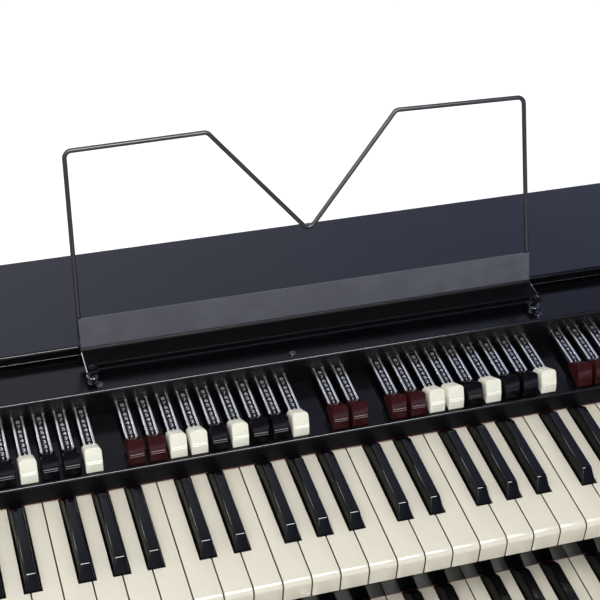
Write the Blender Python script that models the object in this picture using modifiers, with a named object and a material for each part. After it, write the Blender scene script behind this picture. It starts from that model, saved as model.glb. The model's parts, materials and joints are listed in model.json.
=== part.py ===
"""Dual-manual drawbar organ: two 61-note manuals, 38 drawbars and a wire music rest.

Units are metres. X runs along the keys to the right, Y runs from the player to the back,
Z is up. The origin lies on the floor under the centre of the case.
"""
import math

import bmesh
import bpy
from mathutils import Matrix, Vector

# Running clearances
TOUCH_GAP = 0.0003
SLOT_CLEARANCE = 0.0003

# How finely curved faces are cut
ROUND_SIDES = 24
BEND_STEPS = 4
LEVER_STEPS = 16
WIRE_FACETS = 2
MITRE_LIMIT = 0.5
FLAT_ANGLE = 0.01

# Keys
OCTAVE_WIDTH = 0.1645
NATURALS_PER_OCTAVE = 7
OCTAVES = 5
KEY_GAP = 0.0010
KEY_SIDE_ROOM = 0.0015
NATURAL_LENGTH = 0.130
NATURAL_HEIGHT = 0.020
NATURAL_SKIN = 0.0120
NATURAL_LIP = 0.0120
WATERFALL_RADIUS = 0.0060
NATURAL_HEAD = 0.0420
SHARP_WIDTH = 0.0128
SHARP_TOP_WIDTH = 0.0086
SHARP_SIDE_ROOM = 0.0008
SHARP_FRONT_ROOM = 0.0016
SHARP_RISE = 0.0110
SHARP_FRONT_SLOPE = 0.0080
SHARP_BACK_SLOPE = 0.0110
SHARP_BACK_KNEE = 0.0037
SHARP_TAIL_RISE = 0.0014
SHARP_DEPTH = 0.0103
KEY_TAIL = 0.060
HINGE_RAIL = 0.0095
RAIL_ROOM = 0.0010
# How far each sharp stands off the joint between its two naturals
SHARP_OFFSETS = {1: -0.0021, 2: 0.0021, 4: -0.0034, 5: 0.0, 6: 0.0034}

# Levels
LOWER_KEY_TOP = 0.068
MANUAL_STEP = 0.058
FELT_ROOM = 0.0025
DECK_ABOVE_KEYS = 0.019
RISER_HEIGHT = 0.0234
PANEL_RISE = 0.0021
LID_FRONT_HEIGHT = 0.0099

# Depths, front to back
KEYS_BACK_LINE = 0.0105
MANUAL_OVERLAP = 0.014
FRONT_RAIL_ROOM = 0.0030
FRONT_RAIL_DEPTH = 0.0243
FASCIA_LEAN = 0.0020
DECK_DEPTH = 0.070
PANEL_DEPTH = 0.049
LID_DEPTH = 0.129

# Case
LEFT_BLOCK_WIDTH = 0.2135
RIGHT_BLOCK_WIDTH = 0.0345
CHEEK_THICKNESS = 0.028
CHEEK_PROUD = 0.004
CHEEK_STEP_SLOPE = 0.008
BLOCK_ABOVE_KEYS = 0.003
FOOT_HEIGHT = 0.012
FOOT_RADIUS = 0.016
FOOT_INSET = 0.060
SHEET = 0.0015
PANEL_SHEET = 0.0020
FOLD_RADIUS = 0.0020
PAN_FLANGE = 0.012
FRONT_RAIL_DROP = 0.0135
FRONT_RAIL_ROUND = 0.005
FRAME_SHEET = 0.0020
LOWER_SHELF_DROP = 0.016
UPPER_SHELF_DROP = 0.0135
DECK_TUCK = 0.018
PANEL_TUCK = 0.008

# Drawbars
DRAWBAR_PITCH = 0.01745
SET_GAP = 0.0350
SET_SIZES = (9, 9, 2, 9, 9)
SET_NAMES = ("upper_a", "upper_b", "pedal", "lower_a", "lower_b")
NINE_COLOURS = ("brown", "brown", "cream", "cream", "black", "cream", "black", "black", "cream")
BAR_WIDTH = 0.0100
BAR_HEIGHT = 0.0035
BAR_RAIL_WIDTH = 0.0020
BAR_RECESS = 0.0006
BAR_SHOWN = 0.0450
BAR_INSIDE = 0.0350
BAR_IN_KNOB = 0.0060
BAR_ABOVE_DECK = 0.0081
KNOB_WIDTH = 0.0140
KNOB_RIDGE_UP = 0.0090
KNOB_RIDGE_FORWARD = 0.0145
KNOB_TOE_FORWARD = 0.0217
KNOB_HEEL_FORWARD = 0.0150
KNOB_BACK_DROP = 0.0060
KNOB_EDGE = 0.0010

# Music rest
REST_WIDTH = 0.4166
REST_SHEET = 0.0015
REST_LEAN = math.radians(20.0)
REST_PLATE_LENGTH = 0.0285
REST_LEDGE = 0.0200
REST_LEDGE_HEIGHT = 0.0110
REST_LIP = 0.0055
REST_FOLD_RADIUS = 0.0040
REST_BEHIND_PANEL_EDGE = 0.0430
EAR_WIDTH = 0.0100
EAR_LENGTH = 0.0090
EAR_SET_IN = 0.0001
WIRE_DIAMETER = 0.0040
WIRE_INSET = 0.00415
WIRE_ABOVE_PLATE = 0.1437
WIRE_HIDDEN = 0.0200
WIRE_VALLEY = 0.0940
WIRE_SHOULDER = 0.0839
WIRE_TOP_RISE = 0.0021
WIRE_BEND = 0.0060
SCREW_SHAFT_RADIUS = 0.0020
SCREW_HEAD_RADIUS = 0.0032
SCREW_TOP_RADIUS = 0.0026
SCREW_HEAD_HEIGHT = 0.0016
COLLAR_RADIUS = 0.0054
COLLAR_HEIGHT = 0.0038

# Controls on the left end block, socket and board
VOLUME_RADIUS = 0.0100
VOLUME_HEIGHT = 0.0140
VOLUME_INSET = 0.0600
POINTER_WIDTH = 0.0020
POINTER_PROUD = 0.0005
LEVER_RADIUS = 0.0170
LEVER_HEIGHT = 0.0060
LEVER_HANDLE_LENGTH = 0.0200
LEVER_HANDLE_WIDTH = 0.0060
LEVER_HANDLE_PROUD = 0.0018
LEVER_INSET = 0.1100
LEVER_FROM_BACK_LINE = 0.0910
INLET_WIDTH = 0.0270
INLET_HEIGHT = 0.0200
INLET_DEPTH = 0.0180
INLET_WALL = 0.0020
INLET_FLANGE = 0.0040
INLET_FLANGE_THICKNESS = 0.0020
INLET_FROM_BLOCK = 0.1270
PIN_WIDTH = 0.0040
PIN_THICKNESS = 0.0020
PIN_LENGTH = 0.0120
PIN_SPACING = 0.0070
BOARD_LENGTH = 0.320
BOARD_DEPTH = 0.130
BOARD_THICKNESS = 0.0016
BOARD_STAND_OFF = 0.0060
STAND_OFF_RADIUS = 0.0040
STAND_OFF_INSET = 0.0100
CHIP_SIDE = 0.0325
CHIP_HEIGHT = 0.0030

# Sizes that follow from the ones above
PITCH = OCTAVE_WIDTH / NATURALS_PER_OCTAVE
NATURALS = OCTAVES * NATURALS_PER_OCTAVE + 1
KEYBOARD_WIDTH = NATURALS * PITCH
CASE_WIDTH = KEYBOARD_WIDTH + LEFT_BLOCK_WIDTH + RIGHT_BLOCK_WIDTH + 2 * CHEEK_THICKNESS
KEYS_OFF_CENTRE = (LEFT_BLOCK_WIDTH - RIGHT_BLOCK_WIDTH) / 2
KEYS_LEFT = KEYS_OFF_CENTRE - KEYBOARD_WIDTH / 2
KEYS_RIGHT = KEYS_LEFT + KEYBOARD_WIDTH
INNER_RIGHT = CASE_WIDTH / 2 - CHEEK_THICKNESS
INNER_LEFT = -INNER_RIGHT
INLET_X = INNER_LEFT + INLET_FROM_BLOCK
UPPER_KEY_TOP = LOWER_KEY_TOP + MANUAL_STEP
UPPER_BACK_LINE = KEYS_BACK_LINE
LOWER_BACK_LINE = UPPER_BACK_LINE - NATURAL_LENGTH + MANUAL_OVERLAP
KEYS_FRONT = LOWER_BACK_LINE - NATURAL_LENGTH
RAIL_BACK = KEYS_FRONT - FRONT_RAIL_ROOM
CASE_FRONT = RAIL_BACK - FRONT_RAIL_DEPTH
DECK_TOP = UPPER_KEY_TOP + DECK_ABOVE_KEYS
DECK_FRONT = UPPER_BACK_LINE + FASCIA_LEAN
RISER_FACE = DECK_FRONT + DECK_DEPTH
PANEL_TOP_FRONT = DECK_TOP + RISER_HEIGHT
PANEL_BACK = RISER_FACE + PANEL_DEPTH
PANEL_TOP_BACK = PANEL_TOP_FRONT + PANEL_RISE
LID_TOP = PANEL_TOP_BACK + LID_FRONT_HEIGHT
LID_FRONT = PANEL_BACK
CASE_BACK = LID_FRONT + LID_DEPTH
FLOOR_TOP = FOOT_HEIGHT + SHEET
CASE_BOTTOM = FOOT_HEIGHT
BAR_TOP = DECK_TOP + BAR_ABOVE_DECK + BAR_HEIGHT
BAR_BOTTOM = BAR_TOP - BAR_HEIGHT
KNOB_BACK = RISER_FACE - BAR_SHOWN
LEDGE_TOP = PANEL_TOP_FRONT + REST_LEDGE_HEIGHT + REST_SHEET
REST_BEND_Y = RISER_FACE + REST_BEHIND_PANEL_EDGE


def clear_scene():
    for item in list(bpy.data.objects):
        bpy.data.objects.remove(item, do_unlink=True)


def new_collection(name):
    collection = bpy.data.collections.new(name)
    bpy.context.scene.collection.children.link(collection)
    return collection


clear_scene()
PARTS = new_collection("dual_manual_organ")


def make_material(name, colour, roughness, metallic=0.0):
    material = bpy.data.materials.new(name)
    material.use_nodes = True
    shader = material.node_tree.nodes["Principled BSDF"]
    shader.inputs["Base Color"].default_value = (*colour, 1.0)
    shader.inputs["Roughness"].default_value = roughness
    shader.inputs["Metallic"].default_value = metallic
    return material


LID_BLACK = make_material("satin_black_lid", (0.030, 0.034, 0.048), 0.35)
CASE_BLACK = make_material("satin_black_case", (0.012, 0.013, 0.018), 0.30)
GLOSS_BLACK = make_material("gloss_black_deck", (0.008, 0.008, 0.012), 0.12)
WOOD_BLACK = make_material("black_stained_end", (0.014, 0.014, 0.016), 0.40)
IVORY = make_material("ivory_key", (0.83, 0.80, 0.70), 0.30)
EBONY = make_material("black_key", (0.008, 0.008, 0.011), 0.10)
REST_GREY = make_material("grey_rest_steel", (0.070, 0.070, 0.082), 0.40, 0.3)
WIRE_GREY = make_material("dark_wire", (0.090, 0.090, 0.105), 0.35, 0.6)
SCREW_STEEL = make_material("black_screw", (0.060, 0.060, 0.065), 0.30, 0.9)
PAN_STEEL = make_material("pan_steel", (0.020, 0.020, 0.022), 0.50, 0.5)
FRAME_STEEL = make_material("zinc_frame", (0.420, 0.430, 0.440), 0.40, 0.9)
BOARD_GREEN = make_material("board_green", (0.020, 0.110, 0.050), 0.45)
SOCKET_BLACK = make_material("socket_black", (0.015, 0.015, 0.015), 0.50)
KNOB_BLACK = make_material("knob_black", (0.010, 0.010, 0.012), 0.35)
DRAWBAR_COLOURS = {
    "brown": make_material("brown_drawbar", (0.075, 0.018, 0.020), 0.30),
    "cream": make_material("cream_drawbar", (0.88, 0.86, 0.70), 0.35),
    "black": make_material("black_drawbar", (0.012, 0.011, 0.018), 0.25),
}


def mesh_from(source):
    """Copy an object's evaluated shape into a plain mesh in world space."""
    depsgraph = bpy.context.evaluated_depsgraph_get()
    mesh = bpy.data.meshes.new_from_object(source.evaluated_get(depsgraph))
    mesh.transform(source.matrix_world)
    return mesh


def weld(mesh):
    work = bmesh.new()
    work.from_mesh(mesh)
    bmesh.ops.remove_doubles(work, verts=work.verts, dist=1e-6)
    bmesh.ops.recalc_face_normals(work, faces=work.faces)
    work.to_mesh(mesh)
    work.free()
    return mesh


def new_part(name, mesh, material):
    mesh.name = name
    mesh.materials.clear()
    mesh.materials.append(material)
    part = bpy.data.objects.new(name, mesh)
    PARTS.objects.link(part)
    return part


def extruded(name, outline, low, high, along, material, holes=()):
    """Extrude a flat outline: along X it is read as (Y, Z), along Y as (X, Z), along Z as (X, Y)."""
    curve = bpy.data.curves.new(name, "CURVE")
    curve.dimensions = "2D"
    curve.fill_mode = "BOTH"
    curve.extrude = (high - low) / 2
    for loop in (outline, *holes):
        spline = curve.splines.new("POLY")
        spline.points.add(len(loop) - 1)
        for point, (first, second) in zip(spline.points, loop):
            point.co = (first, second, 0.0, 1.0)
        spline.use_cyclic_u = True
    guide = bpy.data.objects.new(name, curve)
    PARTS.objects.link(guide)
    middle = (high + low) / 2
    quarter = math.pi / 2
    if along == "X":
        guide.rotation_euler = (quarter, 0.0, quarter)
        guide.location = (middle, 0.0, 0.0)
    elif along == "Y":
        guide.rotation_euler = (quarter, 0.0, 0.0)
        guide.location = (0.0, middle, 0.0)
    else:
        guide.location = (0.0, 0.0, middle)
    bpy.context.view_layer.update()
    mesh = weld(mesh_from(guide))
    bpy.data.objects.remove(guide, do_unlink=True)
    return new_part(name, mesh, material)


def box(name, x_range, y_range, z_range, material):
    bpy.ops.mesh.primitive_cube_add(size=1.0)
    part = bpy.context.active_object
    part.name = name
    lengths = [high - low for low, high in (x_range, y_range, z_range)]
    sides = Matrix.Diagonal((*lengths, 1.0))
    middle = Vector((sum(x_range) / 2, sum(y_range) / 2, sum(z_range) / 2))
    part.data.transform(Matrix.Translation(middle) @ sides)
    return adopt(part, material)


def cylinder(name, radius, centre, z_range, material):
    height = z_range[1] - z_range[0]
    bpy.ops.mesh.primitive_cylinder_add(vertices=ROUND_SIDES, radius=radius, depth=height)
    part = bpy.context.active_object
    part.name = name
    part.data.transform(Matrix.Translation((centre[0], centre[1], sum(z_range) / 2)))
    return adopt(part, material)


def adopt(part, material):
    """Move a fresh primitive into the model's collection and give it its material."""
    for collection in list(part.users_collection):
        collection.objects.unlink(part)
    PARTS.objects.link(part)
    part.data.name = part.name
    part.data.materials.clear()
    part.data.materials.append(material)
    return part


def combine(target, other, operation):
    """Join, cut or intersect the target with another object, which is used up."""
    modifier = target.modifiers.new(operation.lower(), "BOOLEAN")
    modifier.operation = operation
    modifier.solver = "EXACT"
    modifier.object = other
    bpy.context.view_layer.update()
    mesh = mesh_from(target)
    target.modifiers.clear()
    target.matrix_world = Matrix.Identity(4)
    old = target.data
    material = old.materials[0]
    target.data = mesh
    mesh.materials.clear()
    mesh.materials.append(material)
    bpy.data.meshes.remove(old)
    bpy.data.objects.remove(other, do_unlink=True)
    return target


def set_origin(part, point):
    """Put the object's origin at a world point without moving its shape."""
    part.data.transform(Matrix.Translation(-Vector(point)))
    part.location = point
    return part


def arc(centre, radius, start, end, steps):
    """Points on an arc, with angles in radians."""
    points = []
    for step in range(steps + 1):
        angle = start + (end - start) * step / steps
        points.append((centre[0] + radius * math.cos(angle), centre[1] + radius * math.sin(angle)))
    return points


def round_corners(path, radius):
    """Replace each inner corner of an open path with an arc of the given radius."""
    result = [Vector(path[0])]
    for before, corner, after in zip(path, path[1:], path[2:]):
        corner = Vector(corner)
        back = (Vector(before) - corner).normalized()
        ahead = (Vector(after) - corner).normalized()
        half = back.angle(ahead) / 2
        reach = radius / math.tan(half)
        centre = corner + (back + ahead).normalized() * (radius / math.sin(half))
        first = corner + back * reach - centre
        last = corner + ahead * reach - centre
        for step in range(BEND_STEPS + 1):
            spoke = first.slerp(last, step / BEND_STEPS).normalized()
            result.append(centre + spoke * radius)
    result.append(Vector(path[-1]))
    return result


def sheet_outline(path, thickness, radius):
    """Outline of a folded sheet: the path is one face, the other lies to the right of its run."""
    face = round_corners(path, radius)
    back = []
    for index, point in enumerate(face):
        ahead = face[min(index + 1, len(face) - 1)] - face[max(index - 1, 0)]
        side = Vector((ahead.y, -ahead.x)).normalized()
        if 0 < index < len(face) - 1:
            run_in = (face[index] - face[index - 1]).normalized()
            side = side / max(side.dot(Vector((run_in.y, -run_in.x))), MITRE_LIMIT)
        back.append(point + side * thickness)
    return [tuple(point) for point in face + back[::-1]]


def folded_sheet(name, path, thickness, radius, x_range, material):
    return extruded(name, sheet_outline(path, thickness, radius), *x_range, "X", material)


def sharp_joints():
    """Joints between naturals that carry a sharp, with the sharp's centre in X."""
    joints = {}
    for joint in range(1, NATURALS):
        place = joint % NATURALS_PER_OCTAVE
        if place in SHARP_OFFSETS:
            joints[joint] = KEYS_LEFT + joint * PITCH + SHARP_OFFSETS[place]
    return joints


SHARP_CENTRES = sharp_joints()


def natural_sides(index):
    """Front and tail limits in X of one natural."""
    left = KEYS_LEFT + index * PITCH + KEY_GAP / 2
    right = KEYS_LEFT + (index + 1) * PITCH - KEY_GAP / 2
    half_notch = SHARP_WIDTH / 2 + SHARP_SIDE_ROOM
    tail_left = SHARP_CENTRES[index] + half_notch if index in SHARP_CENTRES else left
    tail_right = SHARP_CENTRES[index + 1] - half_notch if index + 1 in SHARP_CENTRES else right
    return left, right, tail_left, tail_right


def naturals_plan(front, notch, rail_front, rail_back):
    """Plan outline of the comb of naturals, from its left end round to its right end."""
    outline = [(natural_sides(0)[2], rail_back)]
    for index in range(NATURALS):
        left, right, tail_left, tail_right = natural_sides(index)
        outline.append((tail_left, rail_front))
        if tail_left != left:
            outline += [(tail_left, notch), (left, notch)]
        outline += [(left, front), (right, front)]
        if tail_right != right:
            outline += [(right, notch), (tail_right, notch)]
        outline.append((tail_right, rail_front))
    outline.append((natural_sides(NATURALS - 1)[3], rail_back))
    return outline


def key_comb(name, plan, section, material):
    """A comb of keys: its plan, cut to the side section of one key."""
    levels = [level for _, level in section]
    spare = NATURAL_HEIGHT
    comb = extruded(name, plan, min(levels) - spare, max(levels) + spare, "Z", material)
    across = (KEYS_LEFT - spare, KEYS_RIGHT + spare)
    limit = extruded(name + "_section", section, *across, "X", material)
    return combine(comb, limit, "INTERSECT")


def make_naturals(name, back_line, top):
    """Waterfall-front naturals on one hinge rail; the origin is on their hinge line."""
    front = back_line - NATURAL_LENGTH
    hinge = back_line + KEY_TAIL
    bottom = top - NATURAL_HEIGHT
    skin = top - NATURAL_SKIN
    rail_back = hinge + HINGE_RAIL
    notch = front + NATURAL_HEAD - SHARP_FRONT_ROOM
    plan = naturals_plan(front - KEY_GAP, notch, hinge - RAIL_ROOM + TOUCH_GAP, rail_back + KEY_GAP)
    fall_centre = (front + WATERFALL_RADIUS, top - WATERFALL_RADIUS)
    fall = arc(fall_centre, WATERFALL_RADIUS, math.pi, math.pi / 2, BEND_STEPS)
    section = [(front, bottom), *fall, (hinge - RAIL_ROOM, top), (hinge - RAIL_ROOM, skin)]
    section += [(rail_back, skin), (rail_back, bottom), (hinge, bottom), (hinge - NATURAL_SKIN, skin)]
    section += [(front + NATURAL_LIP, skin), (front + NATURAL_LIP, bottom)]
    comb = key_comb(name, plan, section, IVORY)
    return set_origin(comb, (KEYS_OFF_CENTRE, hinge, bottom))


def sharps_plan(front, rail_front, rail_back):
    """Plan outline of the comb of sharps."""
    outline = [(min(SHARP_CENTRES.values()) - SHARP_WIDTH / 2, rail_back)]
    for centre in SHARP_CENTRES.values():
        left = centre - SHARP_WIDTH / 2
        right = centre + SHARP_WIDTH / 2
        outline += [(left, rail_front), (left, front), (right, front), (right, rail_front)]
    outline.append((max(SHARP_CENTRES.values()) + SHARP_WIDTH / 2, rail_back))
    return outline


def taper_sharps(comb, top):
    """Draw the sharps in above the naturals, to their narrower top width."""
    centres = list(SHARP_CENTRES.values())
    narrowing = (SHARP_WIDTH - SHARP_TOP_WIDTH) / SHARP_WIDTH / SHARP_RISE
    for vertex in comb.data.vertices:
        height = vertex.co.z - top
        if height > SHARP_TAIL_RISE + TOUCH_GAP:
            centre = min(centres, key=lambda place: abs(place - vertex.co.x))
            vertex.co.x -= (vertex.co.x - centre) * narrowing * height


def make_sharps(name, back_line, top):
    """Sharps on their own hinge rail, which lies behind the rail of the naturals."""
    front = back_line - NATURAL_LENGTH + NATURAL_HEAD
    hinge = back_line + KEY_TAIL + HINGE_RAIL + RAIL_ROOM
    under = top - SHARP_DEPTH
    bottom = top - NATURAL_HEIGHT
    crown = top + SHARP_RISE
    tail = top + SHARP_TAIL_RISE
    rail_back = hinge + HINGE_RAIL
    plan = sharps_plan(front - KEY_GAP, hinge, rail_back + KEY_GAP)
    section = [(front, under), (front, top), (front + SHARP_FRONT_SLOPE, crown)]
    section += [(back_line - SHARP_BACK_SLOPE, crown), (back_line - SHARP_BACK_KNEE, top + SHARP_RISE / 2)]
    section += [(back_line, tail), (rail_back, tail), (rail_back, bottom), (hinge, bottom), (hinge, under)]
    comb = key_comb(name, plan, section, EBONY)
    taper_sharps(comb, top)
    return set_origin(comb, (KEYS_OFF_CENTRE, hinge, bottom))


def frame_span():
    """Reach in X of what lies between the two end blocks."""
    return KEYS_LEFT - KEY_SIDE_ROOM + TOUCH_GAP, KEYS_RIGHT + KEY_SIDE_ROOM - TOUCH_GAP


def hinge_block(back_line, key_top):
    """Front, back and seat level of the block that carries both hinge rails of a manual."""
    front = back_line + KEY_TAIL
    return front, front + 2 * (HINGE_RAIL + RAIL_ROOM), key_top - NATURAL_HEIGHT - TOUCH_GAP


def make_lower_key_frame():
    """Bridge on the floor tray: front leg, shelf, hinge block and rear leg."""
    front = KEYS_FRONT + NATURAL_LIP
    hinge, back, seat = hinge_block(LOWER_BACK_LINE, LOWER_KEY_TOP)
    shelf = seat - LOWER_SHELF_DROP
    floor = FLOOR_TOP + TOUCH_GAP
    outline = [
        (front, floor), (front, shelf), (hinge, shelf), (hinge, seat), (back, seat), (back, floor),
        (back - FRAME_SHEET, floor), (back - FRAME_SHEET, shelf - FRAME_SHEET),
        (front + FRAME_SHEET, shelf - FRAME_SHEET), (front + FRAME_SHEET, floor),
    ]
    return extruded("lower_key_frame", outline, *frame_span(), "X", FRAME_STEEL)


def make_upper_key_frame():
    """Divider wall behind the lower keys, shelf and hinge block of the upper manual."""
    wall = LOWER_BACK_LINE
    hinge, back, seat = hinge_block(UPPER_BACK_LINE, UPPER_KEY_TOP)
    shelf = seat - UPPER_SHELF_DROP
    low = LOWER_KEY_TOP + FELT_ROOM
    outline = [
        (wall, low), (wall, shelf), (hinge, shelf), (hinge, seat), (back, seat),
        (back, shelf - FRAME_SHEET), (wall + FRAME_SHEET, shelf - FRAME_SHEET), (wall + FRAME_SHEET, low),
    ]
    return extruded("upper_key_frame", outline, *frame_span(), "X", FRAME_STEEL)


def make_base_pan():
    """Folded floor tray with four pressed feet."""
    front = RAIL_BACK + TOUCH_GAP
    back = CASE_BACK - SHEET - TOUCH_GAP
    path = [(back, FOOT_HEIGHT + PAN_FLANGE), (back, FOOT_HEIGHT), (front, FOOT_HEIGHT)]
    path.append((front, FOOT_HEIGHT + PAN_FLANGE))
    across = (INNER_LEFT + TOUCH_GAP, INNER_RIGHT - TOUCH_GAP)
    pan = folded_sheet("base_pan", path, SHEET, FOLD_RADIUS, across, PAN_STEEL)
    foot_x = CASE_WIDTH / 2 - CHEEK_THICKNESS - FOOT_INSET
    for side in (-foot_x, foot_x):
        for depth in (CASE_FRONT + FOOT_INSET, CASE_BACK - FOOT_INSET):
            foot = cylinder("foot", FOOT_RADIUS, (side, depth), (0.0, FOOT_HEIGHT + SHEET / 2), PAN_STEEL)
            combine(pan, foot, "UNION")
    return pan


def make_rear_panel():
    """Flat back sheet with the cut-out for the mains socket."""
    low, high = CASE_BOTTOM, LID_TOP - SHEET - TOUCH_GAP
    left, right = INNER_LEFT + TOUCH_GAP, INNER_RIGHT - TOUCH_GAP
    outline = [(left, low), (right, low), (right, high), (left, high)]
    half_width = INLET_WIDTH / 2 + TOUCH_GAP
    half_height = INLET_HEIGHT / 2 + TOUCH_GAP
    level = inlet_level()
    corners = ((-1, -1), (1, -1), (1, 1), (-1, 1))
    hole = [(INLET_X + side * half_width, level + up * half_height) for side, up in corners]
    return extruded("rear_panel", outline, CASE_BACK - SHEET, CASE_BACK, "Y", CASE_BLACK, [hole])


def inlet_level():
    return CASE_BOTTOM + PAN_FLANGE + INLET_HEIGHT


def make_mains_inlet():
    """Appliance socket: a flanged cup that opens to the back, with three pins."""
    level = inlet_level()
    inner_end = CASE_BACK - INLET_DEPTH
    body = box("mains_inlet", (INLET_X - INLET_WIDTH / 2, INLET_X + INLET_WIDTH / 2),
               (inner_end, CASE_BACK + INLET_FLANGE_THICKNESS / 2),
               (level - INLET_HEIGHT / 2, level + INLET_HEIGHT / 2), SOCKET_BLACK)
    reach_x = INLET_WIDTH / 2 + INLET_FLANGE
    reach_z = INLET_HEIGHT / 2 + INLET_FLANGE
    flange = box("flange", (INLET_X - reach_x, INLET_X + reach_x),
                 (CASE_BACK + TOUCH_GAP, CASE_BACK + TOUCH_GAP + INLET_FLANGE_THICKNESS),
                 (level - reach_z, level + reach_z), SOCKET_BLACK)
    combine(body, flange, "UNION")
    wide = INLET_WIDTH / 2 - INLET_WALL
    tall = INLET_HEIGHT / 2 - INLET_WALL
    hollow = box("hollow", (INLET_X - wide, INLET_X + wide),
                 (inner_end + INLET_WALL, CASE_BACK + INLET_DEPTH),
                 (level - tall, level + tall), SOCKET_BLACK)
    combine(body, hollow, "DIFFERENCE")
    for column in (-1, 0, 1):
        x = INLET_X + column * PIN_SPACING
        root = inner_end + INLET_WALL / 2
        pin = box("pin", (x - PIN_THICKNESS / 2, x + PIN_THICKNESS / 2), (root, root + PIN_LENGTH),
                  (level - PIN_WIDTH / 2, level + PIN_WIDTH / 2), SOCKET_BLACK)
        combine(body, pin, "UNION")
    return body


def cheek_outline():
    """Stepped side view of the end cheeks, a little proud of what lies between them."""
    lower = LOWER_KEY_TOP + BLOCK_ABOVE_KEYS + CHEEK_PROUD
    upper = UPPER_KEY_TOP + BLOCK_ABOVE_KEYS + CHEEK_PROUD
    deck = DECK_TOP + CHEEK_PROUD
    panel = PANEL_TOP_BACK + CHEEK_PROUD
    lid = LID_TOP + CHEEK_PROUD
    upper_front = UPPER_BACK_LINE - NATURAL_LENGTH
    slope = CHEEK_STEP_SLOPE
    return [
        (CASE_FRONT, CASE_BOTTOM), (CASE_BACK, CASE_BOTTOM), (CASE_BACK, lid),
        (LID_FRONT + slope, lid), (LID_FRONT, panel), (RISER_FACE, panel),
        (RISER_FACE - slope, deck), (DECK_FRONT + slope / 2, deck), (DECK_FRONT - slope / 2, upper),
        (upper_front + slope / 2, upper), (upper_front - slope / 2, lower),
        (CASE_FRONT + slope, lower), (CASE_FRONT, lower - 2 * slope),
    ]


def block_outline():
    """Stepped side view of the block between a cheek and the keys."""
    front = RAIL_BACK + TOUCH_GAP
    back = UPPER_BACK_LINE - FELT_ROOM
    step = UPPER_BACK_LINE - NATURAL_LENGTH
    lower = LOWER_KEY_TOP + BLOCK_ABOVE_KEYS
    upper = UPPER_KEY_TOP + BLOCK_ABOVE_KEYS
    floor = FLOOR_TOP + PAN_FLANGE
    return [(front, floor), (back, floor), (back, upper), (step, upper), (step, lower), (front, lower)]


def make_end_block(name, outer, inner, key_side):
    """End cheek with the block that fills the space beside both manuals."""
    cheek = extruded(name, cheek_outline(), min(outer, inner), max(outer, inner), "X", WOOD_BLACK)
    middle = (outer + inner) / 2
    across = sorted((middle, key_side))
    block = extruded("block", block_outline(), *across, "X", WOOD_BLACK)
    return combine(cheek, block, "UNION")


def make_front_rail():
    """Rail in front of the lower manual, rounded along its top front edge."""
    top = LOWER_KEY_TOP - FRONT_RAIL_DROP
    rounding = FRONT_RAIL_ROUND
    edge = arc((CASE_FRONT + rounding, top - rounding), rounding, math.pi, math.pi / 2, BEND_STEPS)
    outline = [(CASE_FRONT, CASE_BOTTOM), *edge, (RAIL_BACK, top), (RAIL_BACK, CASE_BOTTOM)]
    across = (INNER_LEFT + TOUCH_GAP, INNER_RIGHT - TOUCH_GAP)
    return extruded("front_rail", outline, *across, "X", WOOD_BLACK)


def make_drawbar_deck():
    """Glossy deck under the drawbars, folded down in front as the fascia over the keys."""
    across = (INNER_LEFT + TOUCH_GAP, INNER_RIGHT - TOUCH_GAP)
    path = [(UPPER_BACK_LINE, UPPER_KEY_TOP + FELT_ROOM), (DECK_FRONT, DECK_TOP)]
    path.append((RISER_FACE + DECK_TUCK, DECK_TOP))
    return folded_sheet("drawbar_deck", path, SHEET, FOLD_RADIUS, across, GLOSS_BLACK)


def drawbar_places():
    """Name, colour and X of every drawbar, counted from the left in each set."""
    bars = sum(SET_SIZES)
    steps = bars - len(SET_SIZES)
    place = -(steps * DRAWBAR_PITCH + (len(SET_SIZES) - 1) * SET_GAP) / 2
    places = []
    for set_name, size in zip(SET_NAMES, SET_SIZES):
        for index in range(size):
            colour = NINE_COLOURS[index] if size == len(NINE_COLOURS) else "brown"
            places.append((f"drawbar_{set_name}_{index + 1}", colour, place))
            place += DRAWBAR_PITCH
        place += SET_GAP - DRAWBAR_PITCH
    return places


def make_control_panel():
    """Control strip behind the drawbars, folded down in front as the slotted riser."""
    across = (INNER_LEFT + TOUCH_GAP, INNER_RIGHT - TOUCH_GAP)
    path = [(RISER_FACE, DECK_TOP + TOUCH_GAP), (RISER_FACE, PANEL_TOP_FRONT)]
    path.append((PANEL_BACK + PANEL_TUCK, panel_level(PANEL_BACK + PANEL_TUCK)))
    panel = folded_sheet("control_panel", path, PANEL_SHEET, FOLD_RADIUS, across, CASE_BLACK)
    half = BAR_WIDTH / 2 + SLOT_CLEARANCE
    low, high = BAR_BOTTOM - SLOT_CLEARANCE, BAR_TOP + SLOT_CLEARANCE
    slots = None
    for _, _, place in drawbar_places():
        slot = box("slot", (place - half, place + half),
                   (RISER_FACE - PANEL_SHEET, RISER_FACE + 2 * PANEL_SHEET), (low, high), CASE_BLACK)
        slots = slot if slots is None else join_meshes(slots, slot)
    return combine(panel, slots, "DIFFERENCE")


def join_meshes(first, second):
    """Put two separate closed shapes into one object."""
    work = bmesh.new()
    work.from_mesh(first.data)
    work.from_mesh(second.data)
    work.to_mesh(first.data)
    work.free()
    bpy.data.objects.remove(second, do_unlink=True)
    return first


def make_top_lid():
    """Flat top sheet whose front edge is folded down onto the control panel."""
    across = (INNER_LEFT + TOUCH_GAP, INNER_RIGHT - TOUCH_GAP)
    seat = panel_level(LID_FRONT + SHEET) + TOUCH_GAP
    path = [(LID_FRONT, seat), (LID_FRONT, LID_TOP), (CASE_BACK, LID_TOP)]
    return folded_sheet("top_lid", path, SHEET, FOLD_RADIUS, across, LID_BLACK)


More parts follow.
